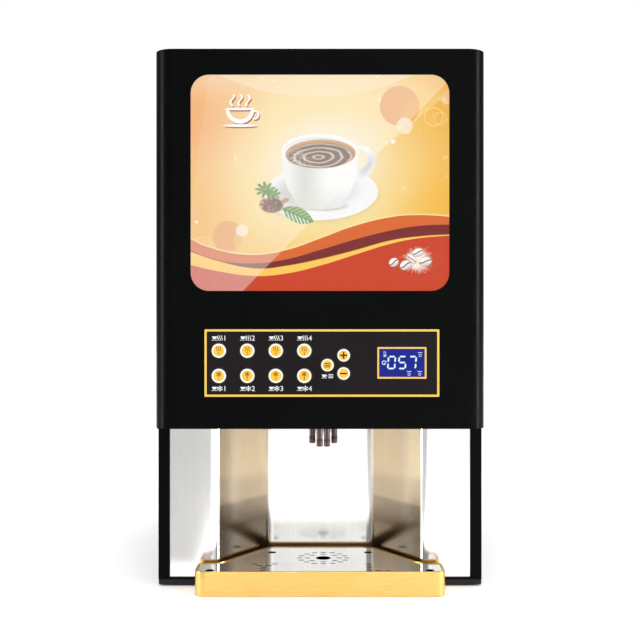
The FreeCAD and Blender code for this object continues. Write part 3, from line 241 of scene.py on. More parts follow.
# ---- The lit picture: painted by nodes, in millimetres from the window's centre ----------------------
class Picture(Shade):
    """A flat picture built up layer by layer; x runs right and z runs up."""

    def __init__(self, name, centre):
        super().__init__(name)
        self.centre = centre
        flat = self.vector("MULTIPLY", self.vector("SUBTRACT", self.place, centre), (1000, 0, 1000))
        self.flat = flat
        split = self.node("ShaderNodeSeparateXYZ")
        self.feed(split.inputs[0], flat)
        self.x, self.z = split.outputs["X"], split.outputs["Z"]
        self.colour = None

    def local(self, x, z, half_x=1.0, half_z=1.0, turn=0.0):
        """Coordinates about a point, turned by some degrees and scaled to half sizes."""
        return self.mapped((x, 0, z), (0, -math.radians(turn), 0), (half_x, 1, half_z), "TEXTURE", self.flat)

    def parts(self, vector):
        split = self.node("ShaderNodeSeparateXYZ")
        self.feed(split.inputs[0], vector)
        return split.outputs["X"], split.outputs["Z"]

    def oval(self, x, z, half_x, half_z, turn=0.0, soft=0.35):
        """1 inside an ellipse, 0 outside, with an edge some millimetres soft."""
        edge = soft / min(half_x, half_z)
        away = self.vector("LENGTH", self.local(x, z, half_x, half_z, turn))
        return self.span(away, 1 + edge, 1 - edge, smooth=True)

    def ring(self, x, z, radius, width, soft=0.4):
        away = self.math("ABSOLUTE", self.math("SUBTRACT", self.vector("LENGTH", self.local(x, z)), radius))
        return self.span(away, width / 2 + soft, width / 2 - soft * 0.5, smooth=True)

    def curve(self, points, half_w, half_h):
        """Height of a smooth line through (x, z) points at every x."""
        across = self.span(self.x, -half_w, half_w)
        made = self.node("ShaderNodeFloatCurve")
        line = made.mapping.curves[0]
        spots = [((x + half_w) / (2 * half_w), (z + half_h) / (2 * half_h)) for x, z in points]
        line.points[0].location, line.points[1].location = spots[0], spots[-1]
        for spot in spots[1:-1]:
            line.points.new(*spot)
        made.mapping.update()
        self.feed(made.inputs["Value"], across)
        return self.span(made.outputs[0], 0, 1, -half_h, half_h)

    def below(self, line, soft=0.35):
        return self.span(self.math("SUBTRACT", line, self.z), -soft, soft, smooth=True)

    def beside(self, x, z, direction, soft=0.5):
        """1 on the right of a straight line through a point, along a direction in degrees."""
        a = math.radians(direction)
        normal = (math.sin(a), 0, -math.cos(a))
        away = self.vector("DOT_PRODUCT", self.vector("SUBTRACT", self.flat, (x, 0, z)), normal)
        return self.span(away, -soft, soft, smooth=True)

    def all(self, *masks):
        made = masks[0]
        for mask in masks[1:]:
            made = self.math("MULTIPLY", made, mask)
        return made

    def invert(self, mask):
        return self.math("SUBTRACT", 1.0, mask)

    def lay(self, mask, colour, alpha=1.0):
        if alpha != 1.0:
            mask = self.math("MULTIPLY", mask, alpha)
        tone = colour if isinstance(colour, bpy.types.NodeSocket) else srgb(*colour)
        self.colour = self.mix(mask, self.colour, tone)


def paint_sky(p):
    """Cream in the middle, golden at the sides, orange at the upper left."""
    middle = p.vector("LENGTH", p.local(6, 28, 165, 122, 12))
    near = p.mix(p.span(middle, 0.15, 0.62, smooth=True), srgb(252, 241, 216), srgb(251, 226, 160))
    p.colour = p.mix(p.span(middle, 0.6, 1.12, smooth=True), near, srgb(247, 198, 98))
    p.lay(p.oval(-160, 84, 58, 60, 0, 55), (243, 158, 76), 0.85)
    p.lay(p.oval(-120, 132, 46, 22, 0, 20), (250, 214, 170), 0.5)
    p.lay(p.oval(166, -22, 60, 60, 0, 55), (248, 188, 62), 0.8)
    p.lay(p.oval(-162, -30, 52, 52, 0, 48), (244, 176, 72), 0.75)
    shade = p.all(p.beside(68, 34, 41, 0.8), p.span(p.z, -10, 92, 0.0, 0.85, smooth=True),
                  p.span(p.x, 62, 130, 0.25, 1.0))
    p.lay(shade, (243, 180, 60), 0.9)


def paint_corner(p):
    """Pale arcs along the top, drifting flakes and a few bright spots."""
    lens = p.all(p.oval(-5, 246, 200, 142), p.invert(p.oval(-86, 152, 26, 24, 0, 8)))
    p.lay(lens, (253, 236, 204), 0.5)
    p.lay(p.all(p.oval(176, 196, 96, 108, 24), p.beside(120, 84, 41)), (250, 208, 158), 0.75)
    p.lay(p.oval(150, 130, 30, 20, -30, 12), (247, 178, 92), 0.55)
    flakes = p.span(p.noise(0.055, 3, 0.6, source=p.flat), 0.62, 0.74, smooth=True)
    p.lay(p.all(flakes, p.span(p.z, -60, 20, smooth=True)), (255, 246, 210), 0.5)
    dots = ((97, 111, 2.4), (73, 100, 2.6), (88, 50, 2.5), (112, 109, 1.6), (-104, -54, 1.9), (-149, -47, 1.8))
    for x, z, r in dots:
        p.lay(p.oval(x, z, r, r, soft=0.9), (255, 254, 246), 0.9)


def paint_circles(p):
    p.lay(p.oval(96, 93, 24, 24), (238, 166, 96), 0.92)
    p.lay(p.oval(120, 80, 23, 23), (250, 200, 100), 0.35)
    p.lay(p.oval(102, 69, 9.8, 9.8), (253, 236, 212), 0.82)
    p.lay(p.ring(137, 80, 11, 1.0), (253, 222, 160), 0.8)
    p.lay(p.ring(145, 78, 7.5, 0.9), (253, 222, 160), 0.7)
    p.lay(p.oval(-111, -64, 18, 18.6), (234, 162, 92), 0.88)
    p.lay(p.oval(-89, -70, 15, 16), (248, 206, 112), 0.5)
    p.lay(p.oval(-94, -57, 7.4, 7.4), (253, 238, 216), 0.82)
    p.lay(p.ring(-137, -75, 5, 1.0), (252, 214, 150), 0.8)
    p.lay(p.ring(-141, -79, 14, 1.0), (252, 214, 150), 0.6)


def paint_waves(p, half_w, half_h):
    """Orange, maroon, yellow and red bands that sweep across the foot of the picture."""
    top = ((-half_w, -67), (-135, -77), (-83, -86.5), (-42, -81), (2, -66), (37, -53), (85, -41),
           (113, -38.5), (half_w, -40.5))
    maroon = ((-half_w, -81), (-119, -93.7), (-82, -96.8), (-44, -92.6), (2, -80), (43, -67.8), (84, -57.4),
              (115, -52), (half_w, -50))
    yellow = ((-half_w, -82.5), (-119, -95), (-73, -103), (-42, -99.8), (2, -91), (43, -80.6), (84, -69.3),
              (115, -64.6), (half_w, -62))
    red = ((-half_w, -98.5), (-119, -106.9), (-78, -112), (-42, -109.2), (2, -98.9), (43, -86), (84, -73.4),
           (115, -67), (half_w, -63.4))
    lift = [(x, z + 1.4) for x, z in top]
    p.lay(p.below(p.curve(lift, half_w, half_h), 1.2), (255, 250, 190), 0.7)
    bands = ((top, (222, 108, 46)), (maroon, (126, 37, 40)), (yellow, (253, 205, 92)), (red, (207, 66, 33)))
    for points, colour in bands:
        p.lay(p.below(p.curve(points, half_w, half_h)), colour)


def paint_saucer(p):
    p.lay(p.oval(2, -15, 70, 33.5, 2, 3), (222, 205, 168), 0.45)
    p.lay(p.oval(1, -12, 69, 32.5, 2), (250, 250, 251))
    well = p.span(p.vector("LENGTH", p.local(-2, -9, 60, 26, 2)), 1.0, 0.55, smooth=True)
    p.lay(well, (222, 224, 228), 0.8)
    p.lay(p.oval(-38, -14, 22, 15, 30, 12), (200, 198, 190), 0.75)


def paint_cup(p):
    """White cup: handle, bowl with soft shading, rim and the coffee in it."""
    handle = p.all(p.oval(47.5, 25, 18.5, 21, -28), p.invert(p.oval(46, 28, 10.5, 13.5, -28)))
    p.lay(handle, (250, 250, 252))
    p.lay(p.all(handle, p.oval(56, 22, 7, 14, -28, 4)), (212, 212, 214), 0.75)
    lx, lz = p.parts(p.local(0, 38.5, 45.5, 69.5))
    body = p.math("ADD", p.math("POWER", p.math("ABSOLUTE", lx), 2.5),
                  p.math("POWER", p.math("ABSOLUTE", lz), 2.5))
    bowl = p.all(p.span(body, 1.02, 0.99, smooth=True), p.span(p.z, 39.5, 38.0))
    across = p.span(p.x, -46, 46)
    tone = p.mix(p.span(across, 0.04, 0.3, smooth=True), srgb(246, 246, 245), srgb(216, 217, 212))
    tone = p.mix(p.span(across, 0.26, 0.66, smooth=True), tone, srgb(253, 253, 253))
    tone = p.mix(p.span(p.z, 0, -28, 0, 0.5, smooth=True), tone, srgb(222, 221, 214))
    p.lay(bowl, tone)
    foot = p.all(p.oval(2, -27, 30, 6.5, 0, 1.5), p.invert(p.oval(2, -24.5, 28, 7, 0, 1)))
    p.lay(foot, (196, 190, 172), 0.8)
    p.lay(p.oval(-0.5, 38.2, 46, 21.4, -1), (252, 252, 253))
    lip = p.all(p.oval(-1, 36.5, 43, 18.6, -1), p.invert(p.oval(-1, 33.6, 44, 19, -1, 1.5)))
    p.lay(lip, (226, 226, 230), 0.8)
    p.lay(p.oval(0.8, 35.4, 42.4, 17.2, 1), (206, 146, 58))
    swirl = p.node("ShaderNodeTexWave", wave_type="RINGS", rings_direction="SPHERICAL")
    p.feed(swirl.inputs["Vector"], p.local(-2, 31, 42, 17, 3))
    for socket, value in (("Scale", 1.15), ("Distortion", 3.2), ("Detail", 2.0), ("Detail Scale", 1.1)):
        swirl.inputs[socket].default_value = value
    ripple = swirl.outputs["Fac"]
    coffee = p.mix(p.span(ripple, 0.2, 0.7), srgb(66, 36, 30), srgb(122, 84, 68))
    coffee = p.mix(p.span(ripple, 0.74, 0.98), coffee, srgb(226, 196, 176))
    froth = p.all(p.oval(-28, 29, 16, 11, -30, 6), p.span(p.noise(0.35, 3, 0.7, source=p.flat), 0.48, 0.62))
    coffee = p.mix(p.math("MULTIPLY", froth, 0.8), coffee, srgb(243, 222, 206))
    p.lay(p.oval(0, 33.4, 40.2, 15.6, 1, 1.0), coffee)
    edge = p.all(p.oval(0, 33.4, 40.2, 15.6, 1, 1.0), p.invert(p.oval(0, 31.6, 39, 15.4, 1, 1.5)))
    p.lay(edge, (176, 116, 48), 0.8)


def paint_beans(p):
    """A sprig, a heap of beans and a leaf at the saucer's edge."""
    for x, z, size, count, phase in ((-66, -8, 13, 9, 0.4), (-56, -13, 9, 7, 1.1)):
        lx, lz = p.parts(p.local(x, z, size, size * 0.78))
        angle = p.math("ARCTAN2", lz, lx)
        spikes = p.math("ABSOLUTE", p.math("SINE", p.math("MULTIPLY_ADD", angle, count / 2, phase)))
        reach = p.math("MULTIPLY_ADD", spikes, 0.62, 0.38)
        away = p.math("SUBTRACT", reach, p.vector("LENGTH", p.local(x, z, size, size * 0.78)))
        patches = p.span(p.noise(0.35, 3, source=p.flat), 0.35, 0.65)
        green = p.mix(patches, srgb(38, 92, 58), srgb(126, 178, 66))
        p.lay(p.span(away, -0.04, 0.06), green)
    heap = p.oval(-58.5, -26.4, 14.2, 9.6, -4, 1.2)
    cells = p.node("ShaderNodeTexVoronoi", feature="DISTANCE_TO_EDGE")
    p.feed(cells.inputs["Vector"], p.local(0, 0, 1, 0.62, 28))
    cells.inputs["Scale"].default_value = 0.15
    bean = p.mix(p.span(cells.outputs["Distance"], 0.04, 0.2), srgb(52, 28, 26), srgb(178, 110, 84))
    bean = p.mix(p.span(cells.outputs["Distance"], 0.3, 0.42), bean, srgb(232, 198, 176))
    p.lay(heap, bean)
    p.lay(p.oval(-42, -21, 5, 2.6, 24), (196, 126, 98))
    lx, lz = p.parts(p.local(-27, -38.6, 20.5, 9.4, -23))
    width = p.math("POWER", p.math("MAXIMUM", p.math("SUBTRACT", 1.0, p.math("MULTIPLY", lx, lx)), 0.0), 0.8)
    leaf = p.all(p.span(p.math("SUBTRACT", width, p.math("ABSOLUTE", lz)), -0.04, 0.05),
                 p.span(p.math("ABSOLUTE", lx), 1.0, 0.97))
    slant = p.math("ADD", lx, p.math("MULTIPLY", p.math("ABSOLUTE", lz), -0.45))
    vein = p.math("SINE", p.math("MULTIPLY", slant, 24.0))
    green = p.mix(p.span(vein, -0.2, 0.7), srgb(52, 128, 62), srgb(150, 196, 70))
    pale = p.mix(p.span(vein, 0.0, 0.9), srgb(66, 148, 74), srgb(240, 248, 214))
    p.lay(leaf, p.mix(p.span(lz, -0.05, -0.2), green, pale))
    inside = p.span(p.math("ABSOLUTE", lx), 1.0, 0.96)
    p.lay(p.all(leaf, inside, p.span(p.math("ABSOLUTE", lz), 0.12, 0.04)), (44, 120, 60))


def paint_splash(p):
    """White beans on a burst of foam at the lower right."""
    lx, lz = p.parts(p.local(118, -93, 17, 15))
    angle = p.math("ARCTAN2", lz, lx)
    ragged = p.node("ShaderNodeTexNoise", noise_dimensions="1D")
    p.feed(ragged.inputs["W"], p.math("MULTIPLY", angle, 5.0))
    reach = p.span(ragged.outputs["Fac"], 0.3, 0.7, 0.4, 1.15)
    away = p.math("SUBTRACT", reach, p.vector("LENGTH", p.local(118, -93, 17, 15)))
    p.lay(p.span(away, -0.04, 0.06), (255, 246, 232))
    specks = p.span(p.noise(0.6, 2, source=p.flat), 0.66, 0.7)
    p.lay(p.all(specks, p.oval(116, -95, 30, 21, 0, 8)), (255, 246, 232), 0.9)
    for x, z, rx, rz, turn in ((89, -95.5, 5.8, 5.0, 30), (103, -99, 6.8, 5.4, 26), (110, -91, 7.4, 3.9, -42),
                               (118, -83.5, 6.8, 4.6, 18), (127, -94.5, 7.6, 5.2, 12)):
        lx, lz = p.parts(p.local(x, z, rx, rz, turn))
        body = p.oval(x, z, rx, rz, turn)
        p.lay(body, p.mix(p.span(lz, -1.0, 0.1), srgb(206, 200, 194), srgb(255, 255, 255)))
        bend = p.math("MULTIPLY", p.math("SINE", p.math("MULTIPLY", lx, 2.6)), 0.16)
        crease = p.math("ABSOLUTE", p.math("SUBTRACT", lz, bend))
        p.lay(p.all(p.oval(x, z, rx + 0.8, rz + 0.8, turn), p.invert(body)), (196, 120, 92), 0.6)
        p.lay(p.all(body, p.span(crease, 0.2, 0.1)), (150, 84, 60))


def sparks(p):
    """Small bright dots that fall from the top edge."""
    dots = p.node("ShaderNodeTexVoronoi", feature="F1")
    p.feed(dots.inputs["Vector"], p.flat)
    dots.inputs["Scale"].default_value = 0.13
    dots.inputs["Randomness"].default_value = 1.0
    size = p.node("ShaderNodeSeparateColor")
    p.feed(size.inputs[0], dots.outputs["Color"])
    reach = p.span(size.outputs[0], 0.3, 1.0, 0.0, 0.17)
    spark = p.span(p.math("SUBTRACT", reach, dots.outputs["Distance"]), -0.02, 0.05, smooth=True)
    return p.all(spark, p.span(p.z, 92, 118, smooth=True))


def emblem(p, dx, dz):
    """A plain cup with three curls of steam, where a title would stand."""
    bowl = p.all(p.oval(-96 + dx, 88 + dz, 17, 17), p.span(p.z, 88.6 + dz, 87.8 + dz),
                 p.invert(p.oval(-96 + dx, 89.6 + dz, 13.2, 13.6)))
    grip = p.all(p.ring(-78.5 + dx, 81.5 + dz, 4.6, 1.9), p.span(p.x, -81 + dx, -80.2 + dx))
    made = p.math("MAXIMUM", bowl, grip)
    made = p.math("MAXIMUM", made, p.oval(-96 + dx, 88.6 + dz, 18.2, 1.5))
    made = p.math("MAXIMUM", made, p.oval(-96 + dx, 68.6 + dz, 21, 1.6))
    for i in (-1, 0, 1):
        lx, lz = p.parts(p.local(-96 + i * 9.5 + dx, 99 + dz))
        wave = p.math("MULTIPLY", p.math("SINE", p.math("MULTIPLY_ADD", lz, 0.42, i * 0.5)), 2.1)
        thin = p.span(p.math("ABSOLUTE", p.math("SUBTRACT", lx, wave)), 1.6, 0.9, smooth=True)
        made = p.math("MAXIMUM", made, p.all(thin, p.span(p.math("ABSOLUTE", lz), 7.6, 6.2, smooth=True)))
    return made


def window_material():
    """Clear sheet, with an emblem and sparks printed on its back and a pale diagonal sheen painted on as glare."""
    low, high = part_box("graphic_window")
    p = Picture("printed acrylic", (low + high) / 2)
    p.colour = p.mix(p.noise(0.02, 2, source=p.flat), srgb(255, 250, 242), srgb(255, 252, 246))
    shadow = emblem(p, 1.0, -1.3)
    p.lay(shadow, (160, 88, 50))
    white = emblem(p, 0, 0)
    p.lay(white, (255, 255, 253))
    # painted glare: a pale sheen on the upper left of a diagonal stands in for light reflected in the sheet
    painted_glare = p.math("MULTIPLY", p.invert(p.beside(68, 34, 45.6, 0.6)), 0.16)
    cover = p.math("MAXIMUM", p.math("MAXIMUM", shadow, white),
                   p.math("MAXIMUM", painted_glare, p.math("MULTIPLY", sparks(p), 0.95)))
    p.set(Base_Color=p.mix(0.9, p.colour, srgb(0, 0, 0)), Emission_Color=p.colour, Emission_Strength=0.92)
    p.set(Alpha=p.math("MAXIMUM", cover, 0.012), Specular_IOR_Level=0.25)
    p.set(Roughness=p.span(p.noise(0.06, 3, source=p.flat), 0.3, 0.7, 0.08, 0.14))
    p.material.cycles.emission_sampling = "NONE"
    return p.material


def picture_material():
    low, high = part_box("graphic_window")
    p = Picture("lit picture", (low + high) / 2)
    half_w, half_h = 156.0, 131.0
    paint_sky(p)
    paint_corner(p)
    paint_circles(p)
    paint_waves(p, half_w, half_h)
    paint_saucer(p)
    paint_cup(p)
    paint_beans(p)
    paint_splash(p)
    paper = p.mix(0.9, p.colour, srgb(0, 0, 0))
    p.set(Base_Color=paper, Emission_Color=p.colour, Emission_Strength=0.88)
    p.set(Roughness=0.35, Specular_IOR_Level=0.1)
    p.material.cycles.emission_sampling = "NONE"
    return p.material


# ---- Mesh helpers ----------------------------------------------------------------------------------
def piece(name, verts, faces, body, materials, smooth=False, indices=None):
    """A new mesh object in the row frame, riding on a body."""
    mesh = bpy.data.meshes.new(name)
    mesh.from_pydata([tuple(v) for v in verts], [], faces)
    for material in materials if isinstance(materials, (list, tuple)) else [materials]:
        mesh.materials.append(material)
    if indices:
        mesh.polygons.foreach_set("material_index", indices)
    mesh.polygons.foreach_set("use_smooth", [smooth] * len(mesh.polygons))
    mesh.update()
    made = bpy.data.objects.new(name, mesh)
    scene.collection.objects.link(made)
    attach(made, body)
    return made


class Soup:
    """Collects vertices, faces and material numbers for one piece."""

    def __init__(self):
        self.verts, self.faces, self.indices = [], [], []

    def add(self, verts, faces, index=0):
        base = len(self.verts)
        self.verts += [Vector(v) for v in verts]
        self.faces += [[base + i for i in face] for face in faces]
        self.indices += [index] * len(faces)

    def block(self, low, high, index=0, ease=0.0):
        """Box, with all its edges chamfered when ease is given."""
        bm = bmesh.new()
        bmesh.ops.create_cube(bm, size=1.0)
        size = [high[i] - low[i] for i in range(3)]
        for v in bm.verts:
            v.co = Vector([low[i] + (v.co[i] + 0.5) * size[i] for i in range(3)])
        if ease:
            bmesh.ops.bevel(bm, geom=bm.edges[:], offset=ease, segments=2, affect="EDGES", clamp_overlap=True)
        self.take(bm, index)

    def take(self, bm, index=0):
        bm.verts.ensure_lookup_table()
        bm.verts.index_update()
        self.add([v.co.copy() for v in bm.verts], [[v.index for v in f.verts] for f in bm.faces], index)
        bm.free()

    def prism(self, outline, y0, y1, index=0, holes=()):
        """Flat outline of (x, z) points, extruded from y0 (front) to y1."""
        bm = bmesh.new()
        loops = [[bm.verts.new((x, y0, z)) for x, z in loop] for loop in (outline, *holes)]
        edges = [bm.edges.new((loop[i], loop[(i + 1) % len(loop)]))
                 for loop in loops for i in range(len(loop))]
        bmesh.ops.triangle_fill(bm, use_beauty=True, use_dissolve=False, edges=edges)
        sides = bmesh.ops.extrude_edge_only(bm, edges=edges)
        for v in (g for g in sides["geom"] if isinstance(g, bmesh.types.BMVert)):
            v.co.y = y1
        bmesh.ops.recalc_face_normals(bm, faces=bm.faces)
        self.take(bm, index)

    def stroke(self, points, width, y0, y1, index=0):
        """Rounded band along (x, z) points."""
        left, right = [], []
        count = len(points)
        for i in range(count):
            a, b = Vector(points[max(i - 1, 0)]), Vector(points[min(i + 1, count - 1)])
            way = (b - a).normalized()
            side = Vector((-way.y, way.x)) * width / 2
            here = Vector(points[i])
            left.append(here + side)
            right.append(here - side)
        caps = []
        for end, before in ((points[-1], points[-2]), (points[0], points[1])):
            way = (Vector(end) - Vector(before)).normalized()
            start = math.atan2(way.y, way.x) + math.pi / 2
            caps.append([Vector(end) + Vector((math.cos(start - k * math.pi / 6), math.sin(start - k * math.pi / 6))) * width / 2
                         for k in range(1, 6)])
        self.prism([tuple(v) for v in left + caps[0] + right[::-1] + caps[1]], y0, y1, index)

    def lathe(self, profile, centre, axis="Y", steps=40, index=0, closed=False):
        """Surface of revolution of (radius, along) points about an axis through centre."""
        verts, faces = [], []
        for radius, along in profile:
            for k in range(steps):
                a = 2 * math.pi * k / steps
                u, w = radius * math.cos(a), radius * math.sin(a)
                offset = {"Y": (u, along, w), "Z": (u, w, along), "X": (along, u, w)}[axis]
                verts.append(Vector(centre) + Vector(offset))
        for i in range(len(profile) - 1):
            for k in range(steps):
                a, b = i * steps + k, i * steps + (k + 1) % steps
                faces.append([a, b, b + steps, a + steps])
        if closed:
            faces += [list(range(steps))[::-1], [(len(profile) - 1) * steps + k for k in range(steps)]]
        bm = bmesh.new()
        made = [bm.verts.new(v) for v in verts]
        for f in faces:
            bm.faces.new([made[i] for i in f])
        bmesh.ops.remove_doubles(bm, verts=bm.verts, dist=1e-7)
        bmesh.ops.recalc_face_normals(bm, faces=bm.faces)
        self.take(bm, index)

    def pipe(self, points, radius, index=0, sides=12, samples=8):
        """Round hose through points, along a smooth spline."""
        path = [Vector(p) for p in points]
        line = []
        for i in range(len(path) - 1):
            p0, p1, p2, p3 = path[max(i - 1, 0)], path[i], path[i + 1], path[min(i + 2, len(path) - 1)]
            for k in range(samples):
                t = k / samples
                line.append(0.5 * ((2 * p1) + (p2 - p0) * t + (2 * p0 - 5 * p1 + 4 * p2 - p3) * t * t
                                   + (3 * p1 - p0 - 3 * p2 + p3) * t ** 3))
        line.append(path[-1])
        up = Vector((0.13, 0.21, 0.97)).normalized()
        verts, faces = [], []
        for i, here in enumerate(line):
            way = (line[min(i + 1, len(line) - 1)] - line[max(i - 1, 0)]).normalized()
            side = way.cross(up).normalized()
            up = side.cross(way).normalized()
            for k in range(sides):
                a = 2 * math.pi * k / sides
                verts.append(here + (side * math.cos(a) + up * math.sin(a)) * radius)
        for i in range(len(line) - 1):
            for k in range(sides):
                a, b = i * sides + k, i * sides + (k + 1) % sides
                faces.append([a, b, b + sides, a + sides])
        faces += [list(range(sides)), [(len(line) - 1) * sides + k for k in range(sides)][::-1]]
        self.add(verts, faces, index)

    def glyphs(self, text, centre, height, y0, y1, index=0):
        """Plain figures, centred on (x, z)."""
        curve = bpy.data.curves.new("figures", "FONT")
        curve.body, curve.size, curve.align_x, curve.resolution_u = text, 1.0, "CENTER", 3
        holder = bpy.data.objects.new("figures", curve)
        mesh = bpy.data.meshes.new_from_object(holder)
        tall = max(v.co.y for v in mesh.vertices) - min(v.co.y for v in mesh.vertices)
        low = min(v.co.y for v in mesh.vertices)
        k = height / tall
        bm = bmesh.new()
        bm.from_mesh(mesh)
        edge = [e for e in bm.edges if len(e.link_faces) == 1]
        for v in bm.verts:
            v.co = Vector((centre[0] + v.co.x * k, y0, centre[1] + (v.co.y - low - tall / 2) * k))
        sides = bmesh.ops.extrude_edge_only(bm, edges=edge)
        for v in (g for g in sides["geom"] if isinstance(g, bmesh.types.BMVert)):
            v.co.y = y1
        bmesh.ops.recalc_face_normals(bm, faces=bm.faces)
        self.take(bm, index)
        bpy.data.objects.remove(holder)
        bpy.data.curves.remove(curve)
        bpy.data.meshes.remove(mesh)

    def build(self, name, body, slot, materials, smooth=False):
        return piece(name, self.verts, self.faces, body, materials, smooth, self.indices)


def dress(material, *nodes):
    """Gives CAD nodes their material."""
    for name in nodes:
        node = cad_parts[name]
        node.data.materials.clear()
        node.data.materials.append(material)


def arc(cx, cz, radius, start, end, steps=14):
    return [(cx + radius * math.cos(math.radians(start + (end - start) * k / steps)),
             cz + radius * math.sin(math.radians(start + (end - start) * k / steps))) for k in range(steps + 1)]


# ---- CAD nodes that stay ---------------------------------------------------------------------------
def dress_nodes():
    numbers = range(1, 5)
    dress(BLACK, "cabinet_shell", "door_shell", "hinge_brackets")
    dress(GRAY, "base_plate")
    dress(ZINC, "rear_panel", "door_liner", "bulkhead", "nozzle_plate")
    dress(RUBBER, "rubber_feet")
    dress(CHROME, "panel_screws", "lock_barrel")
    dress(WING, "niche_liner")
    dress(MIRROR, "drip_grid")
    dress(SATIN, "canister_shelf", "hot_water_tank", "cold_water_tank")
    dress(BROWN, "nozzle_holder", "product_tubes")
    dress(WHITE_PLASTIC, "mixing_bowls", "light_box", *[f"auger_{i}" for i in numbers])
    dress(CANISTER, *[f"canister_{i}" for i in numbers])
    dress(DARK_PLASTIC, "power_inlet", "rocker_switch", "fan_rotor", "auger_motors", "tray_pan")
    dress(DARK_PLASTIC, *[f"canister_lid_{i}" for i in numbers])
    dress(BLACK, "compressor")
    dress(ALUMINIUM, "condenser")
    dress(BRASS, "solenoid_valves", "water_inlet")
    dress(BOARD, "main_board", "control_board")
    dress(window_material(), "graphic_window")
    dress(picture_material(), "graphic_print")
    dress(PANEL, "control_panel")
    dress(GOLD_LINE, "gold_trim")
    dress(GOLD, "tray_band")
    dress(LCD_BLUE, "lcd_module")
    buttons = [f"button_{kind}_{i}" for kind in ("hot", "cold") for i in numbers]
    dress(RING_WHITE, *buttons, "button_menu", "button_plus", "button_minus")


# ---- Control panel ---------------------------------------------------------------------------------
def button_face(name, mark):
    """Gold disc, slightly domed, with its mark, on the button's white cap."""
    low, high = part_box(name)
    x, z, front = (low.x + high.x) / 2, (low.z + high.z) / 2, low.y
    radius = (high.x - low.x) / 2 - 1.2 * MM  # the cap, without the lip behind the sheet
    disc = radius * 0.79
    soup = Soup()
    soup.lathe([(disc, 0), (disc, -0.12 * MM), (disc * 0.93, -0.2 * MM), (disc * 0.5, -0.27 * MM), (0, -0.3 * MM)],
               (x, front, z), index=0)
    y0, y1 = front - 0.36 * MM, front - 0.1 * MM
    mark(soup, x, z, radius, y0, y1)
    soup.build(name + "_face", name + "_body", "button_gold", [BUTTON_GOLD, INK], smooth=False)


def steam_mark(soup, x, z, size, y0, y1, index=1):
    """Three rising curls: hot."""
    for i in (-1, 0, 1):
        line = [(x + i * size * 0.42 + 0.1 * size * math.sin(t * 2 * math.pi / 8), z + (t / 8 - 0.5) * size)
                for t in range(9)]
        soup.stroke(line, size * 0.13, y0, y1, index)


def frost_mark(soup, x, z, size, y0, y1, index=1):
    """Six-armed star: cold."""
    for k in range(3):
        a = math.radians(60 * k + 90)
        dx, dz = math.cos(a) * size * 0.55, math.sin(a) * size * 0.55
        soup.stroke([(x - dx, z - dz), (x, z), (x + dx, z + dz)], size * 0.12, y0, y1, index)
        for end in (-1, 1):
            for turn in (-35, 35):
                b = a + math.radians(turn)
                sx, sz = x + end * dx * 0.55, z + end * dz * 0.55
                soup.stroke([(sx, sz), (sx + end * math.cos(b) * size * 0.2, sz + end * math.sin(b) * size * 0.2)],
                            size * 0.1, y0, y1, index)


def cup_mark(soup, x, z, size, y0, y1, index=1):
    soup.prism([(x - size * 0.5, z + size * 0.35)] + arc(x, z + size * 0.2, size * 0.42, 200, 340, 10)
               + [(x + size * 0.5, z + size * 0.35)], y0, y1, index)
    soup.stroke(arc(x + size * 0.48, z + size * 0.1, size * 0.18, 80, -80, 8), size * 0.1, y0, y1, index)
    saucer = [(x - size * 0.55, z - size * 0.42), (x + size * 0.55, z - size * 0.42)]
    soup.stroke(saucer, size * 0.1, y0, y1, index)


def drink_mark(kind, number):
    def mark(soup, x, z, radius, y0, y1):
        symbol = steam_mark if kind == "hot" else frost_mark
        symbol(soup, x, z + radius * 0.24, radius * 0.62, y0, y1)
        soup.glyphs(str(number), (x, z - radius * 0.4), radius * 0.42, y0, y1, 1)
    return mark


def menu_mark(soup, x, z, radius, y0, y1):
    for k in (-1, 0, 1):
        soup.stroke([(x - radius * 0.42, z + k * radius * 0.28), (x + radius * 0.42, z + k * radius * 0.28)],
                    radius * 0.15, y0, y1, 1)


def plus_mark(soup, x, z, radius, y0, y1):
    minus_mark(soup, x, z, radius, y0, y1)
    soup.block((x - radius * 0.13, y0, z - radius * 0.56), (x + radius * 0.13, y1, z + radius * 0.56), 1)


def minus_mark(soup, x, z, radius, y0, y1):
    soup.block((x - radius * 0.56, y0, z - radius * 0.13), (x + radius * 0.56, y1, z + radius * 0.13), 1)


def panel_labels():
    """White marks printed beside each button: hot or cold cup and its number."""
    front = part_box("control_panel")[0].y
    y0, y1 = front - 0.06 * MM, front + 0.1 * MM
    soup = Soup()
    for kind, step in (("hot", 1), ("cold", -1)):
        for i in range(1, 5):
            low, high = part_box(f"button_{kind}_{i}")
            x, z = (low.x + high.x) / 2, (low.z + high.z) / 2 + step * 15.2 * MM
            cup_mark(soup, x - 5.4 * MM, z, 5.6 * MM, y0, y1, 0)
            (steam_mark if kind == "hot" else frost_mark)(soup, x + 1.4 * MM, z, 5.6 * MM, y0, y1, 0)
            soup.glyphs(str(i), (x + 7.2 * MM, z), 6.0 * MM, y0, y1, 0)
    low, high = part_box("button_menu")
    x, z = (low.x + high.x) / 2, (low.z + high.z) / 2 - 13.2 * MM
    cup_mark(soup, x - 4 * MM, z, 5.2 * MM, y0, y1, 0)
    for k in (-1, 0, 1):
        soup.stroke([(x + 1.6 * MM, z + k * 1.9 * MM), (x + 6.6 * MM, z + k * 1.9 * MM)], 0.8 * MM, y0, y1, 0)
    soup.build("panel_labels", "door", "panel_film", LABEL_WHITE)


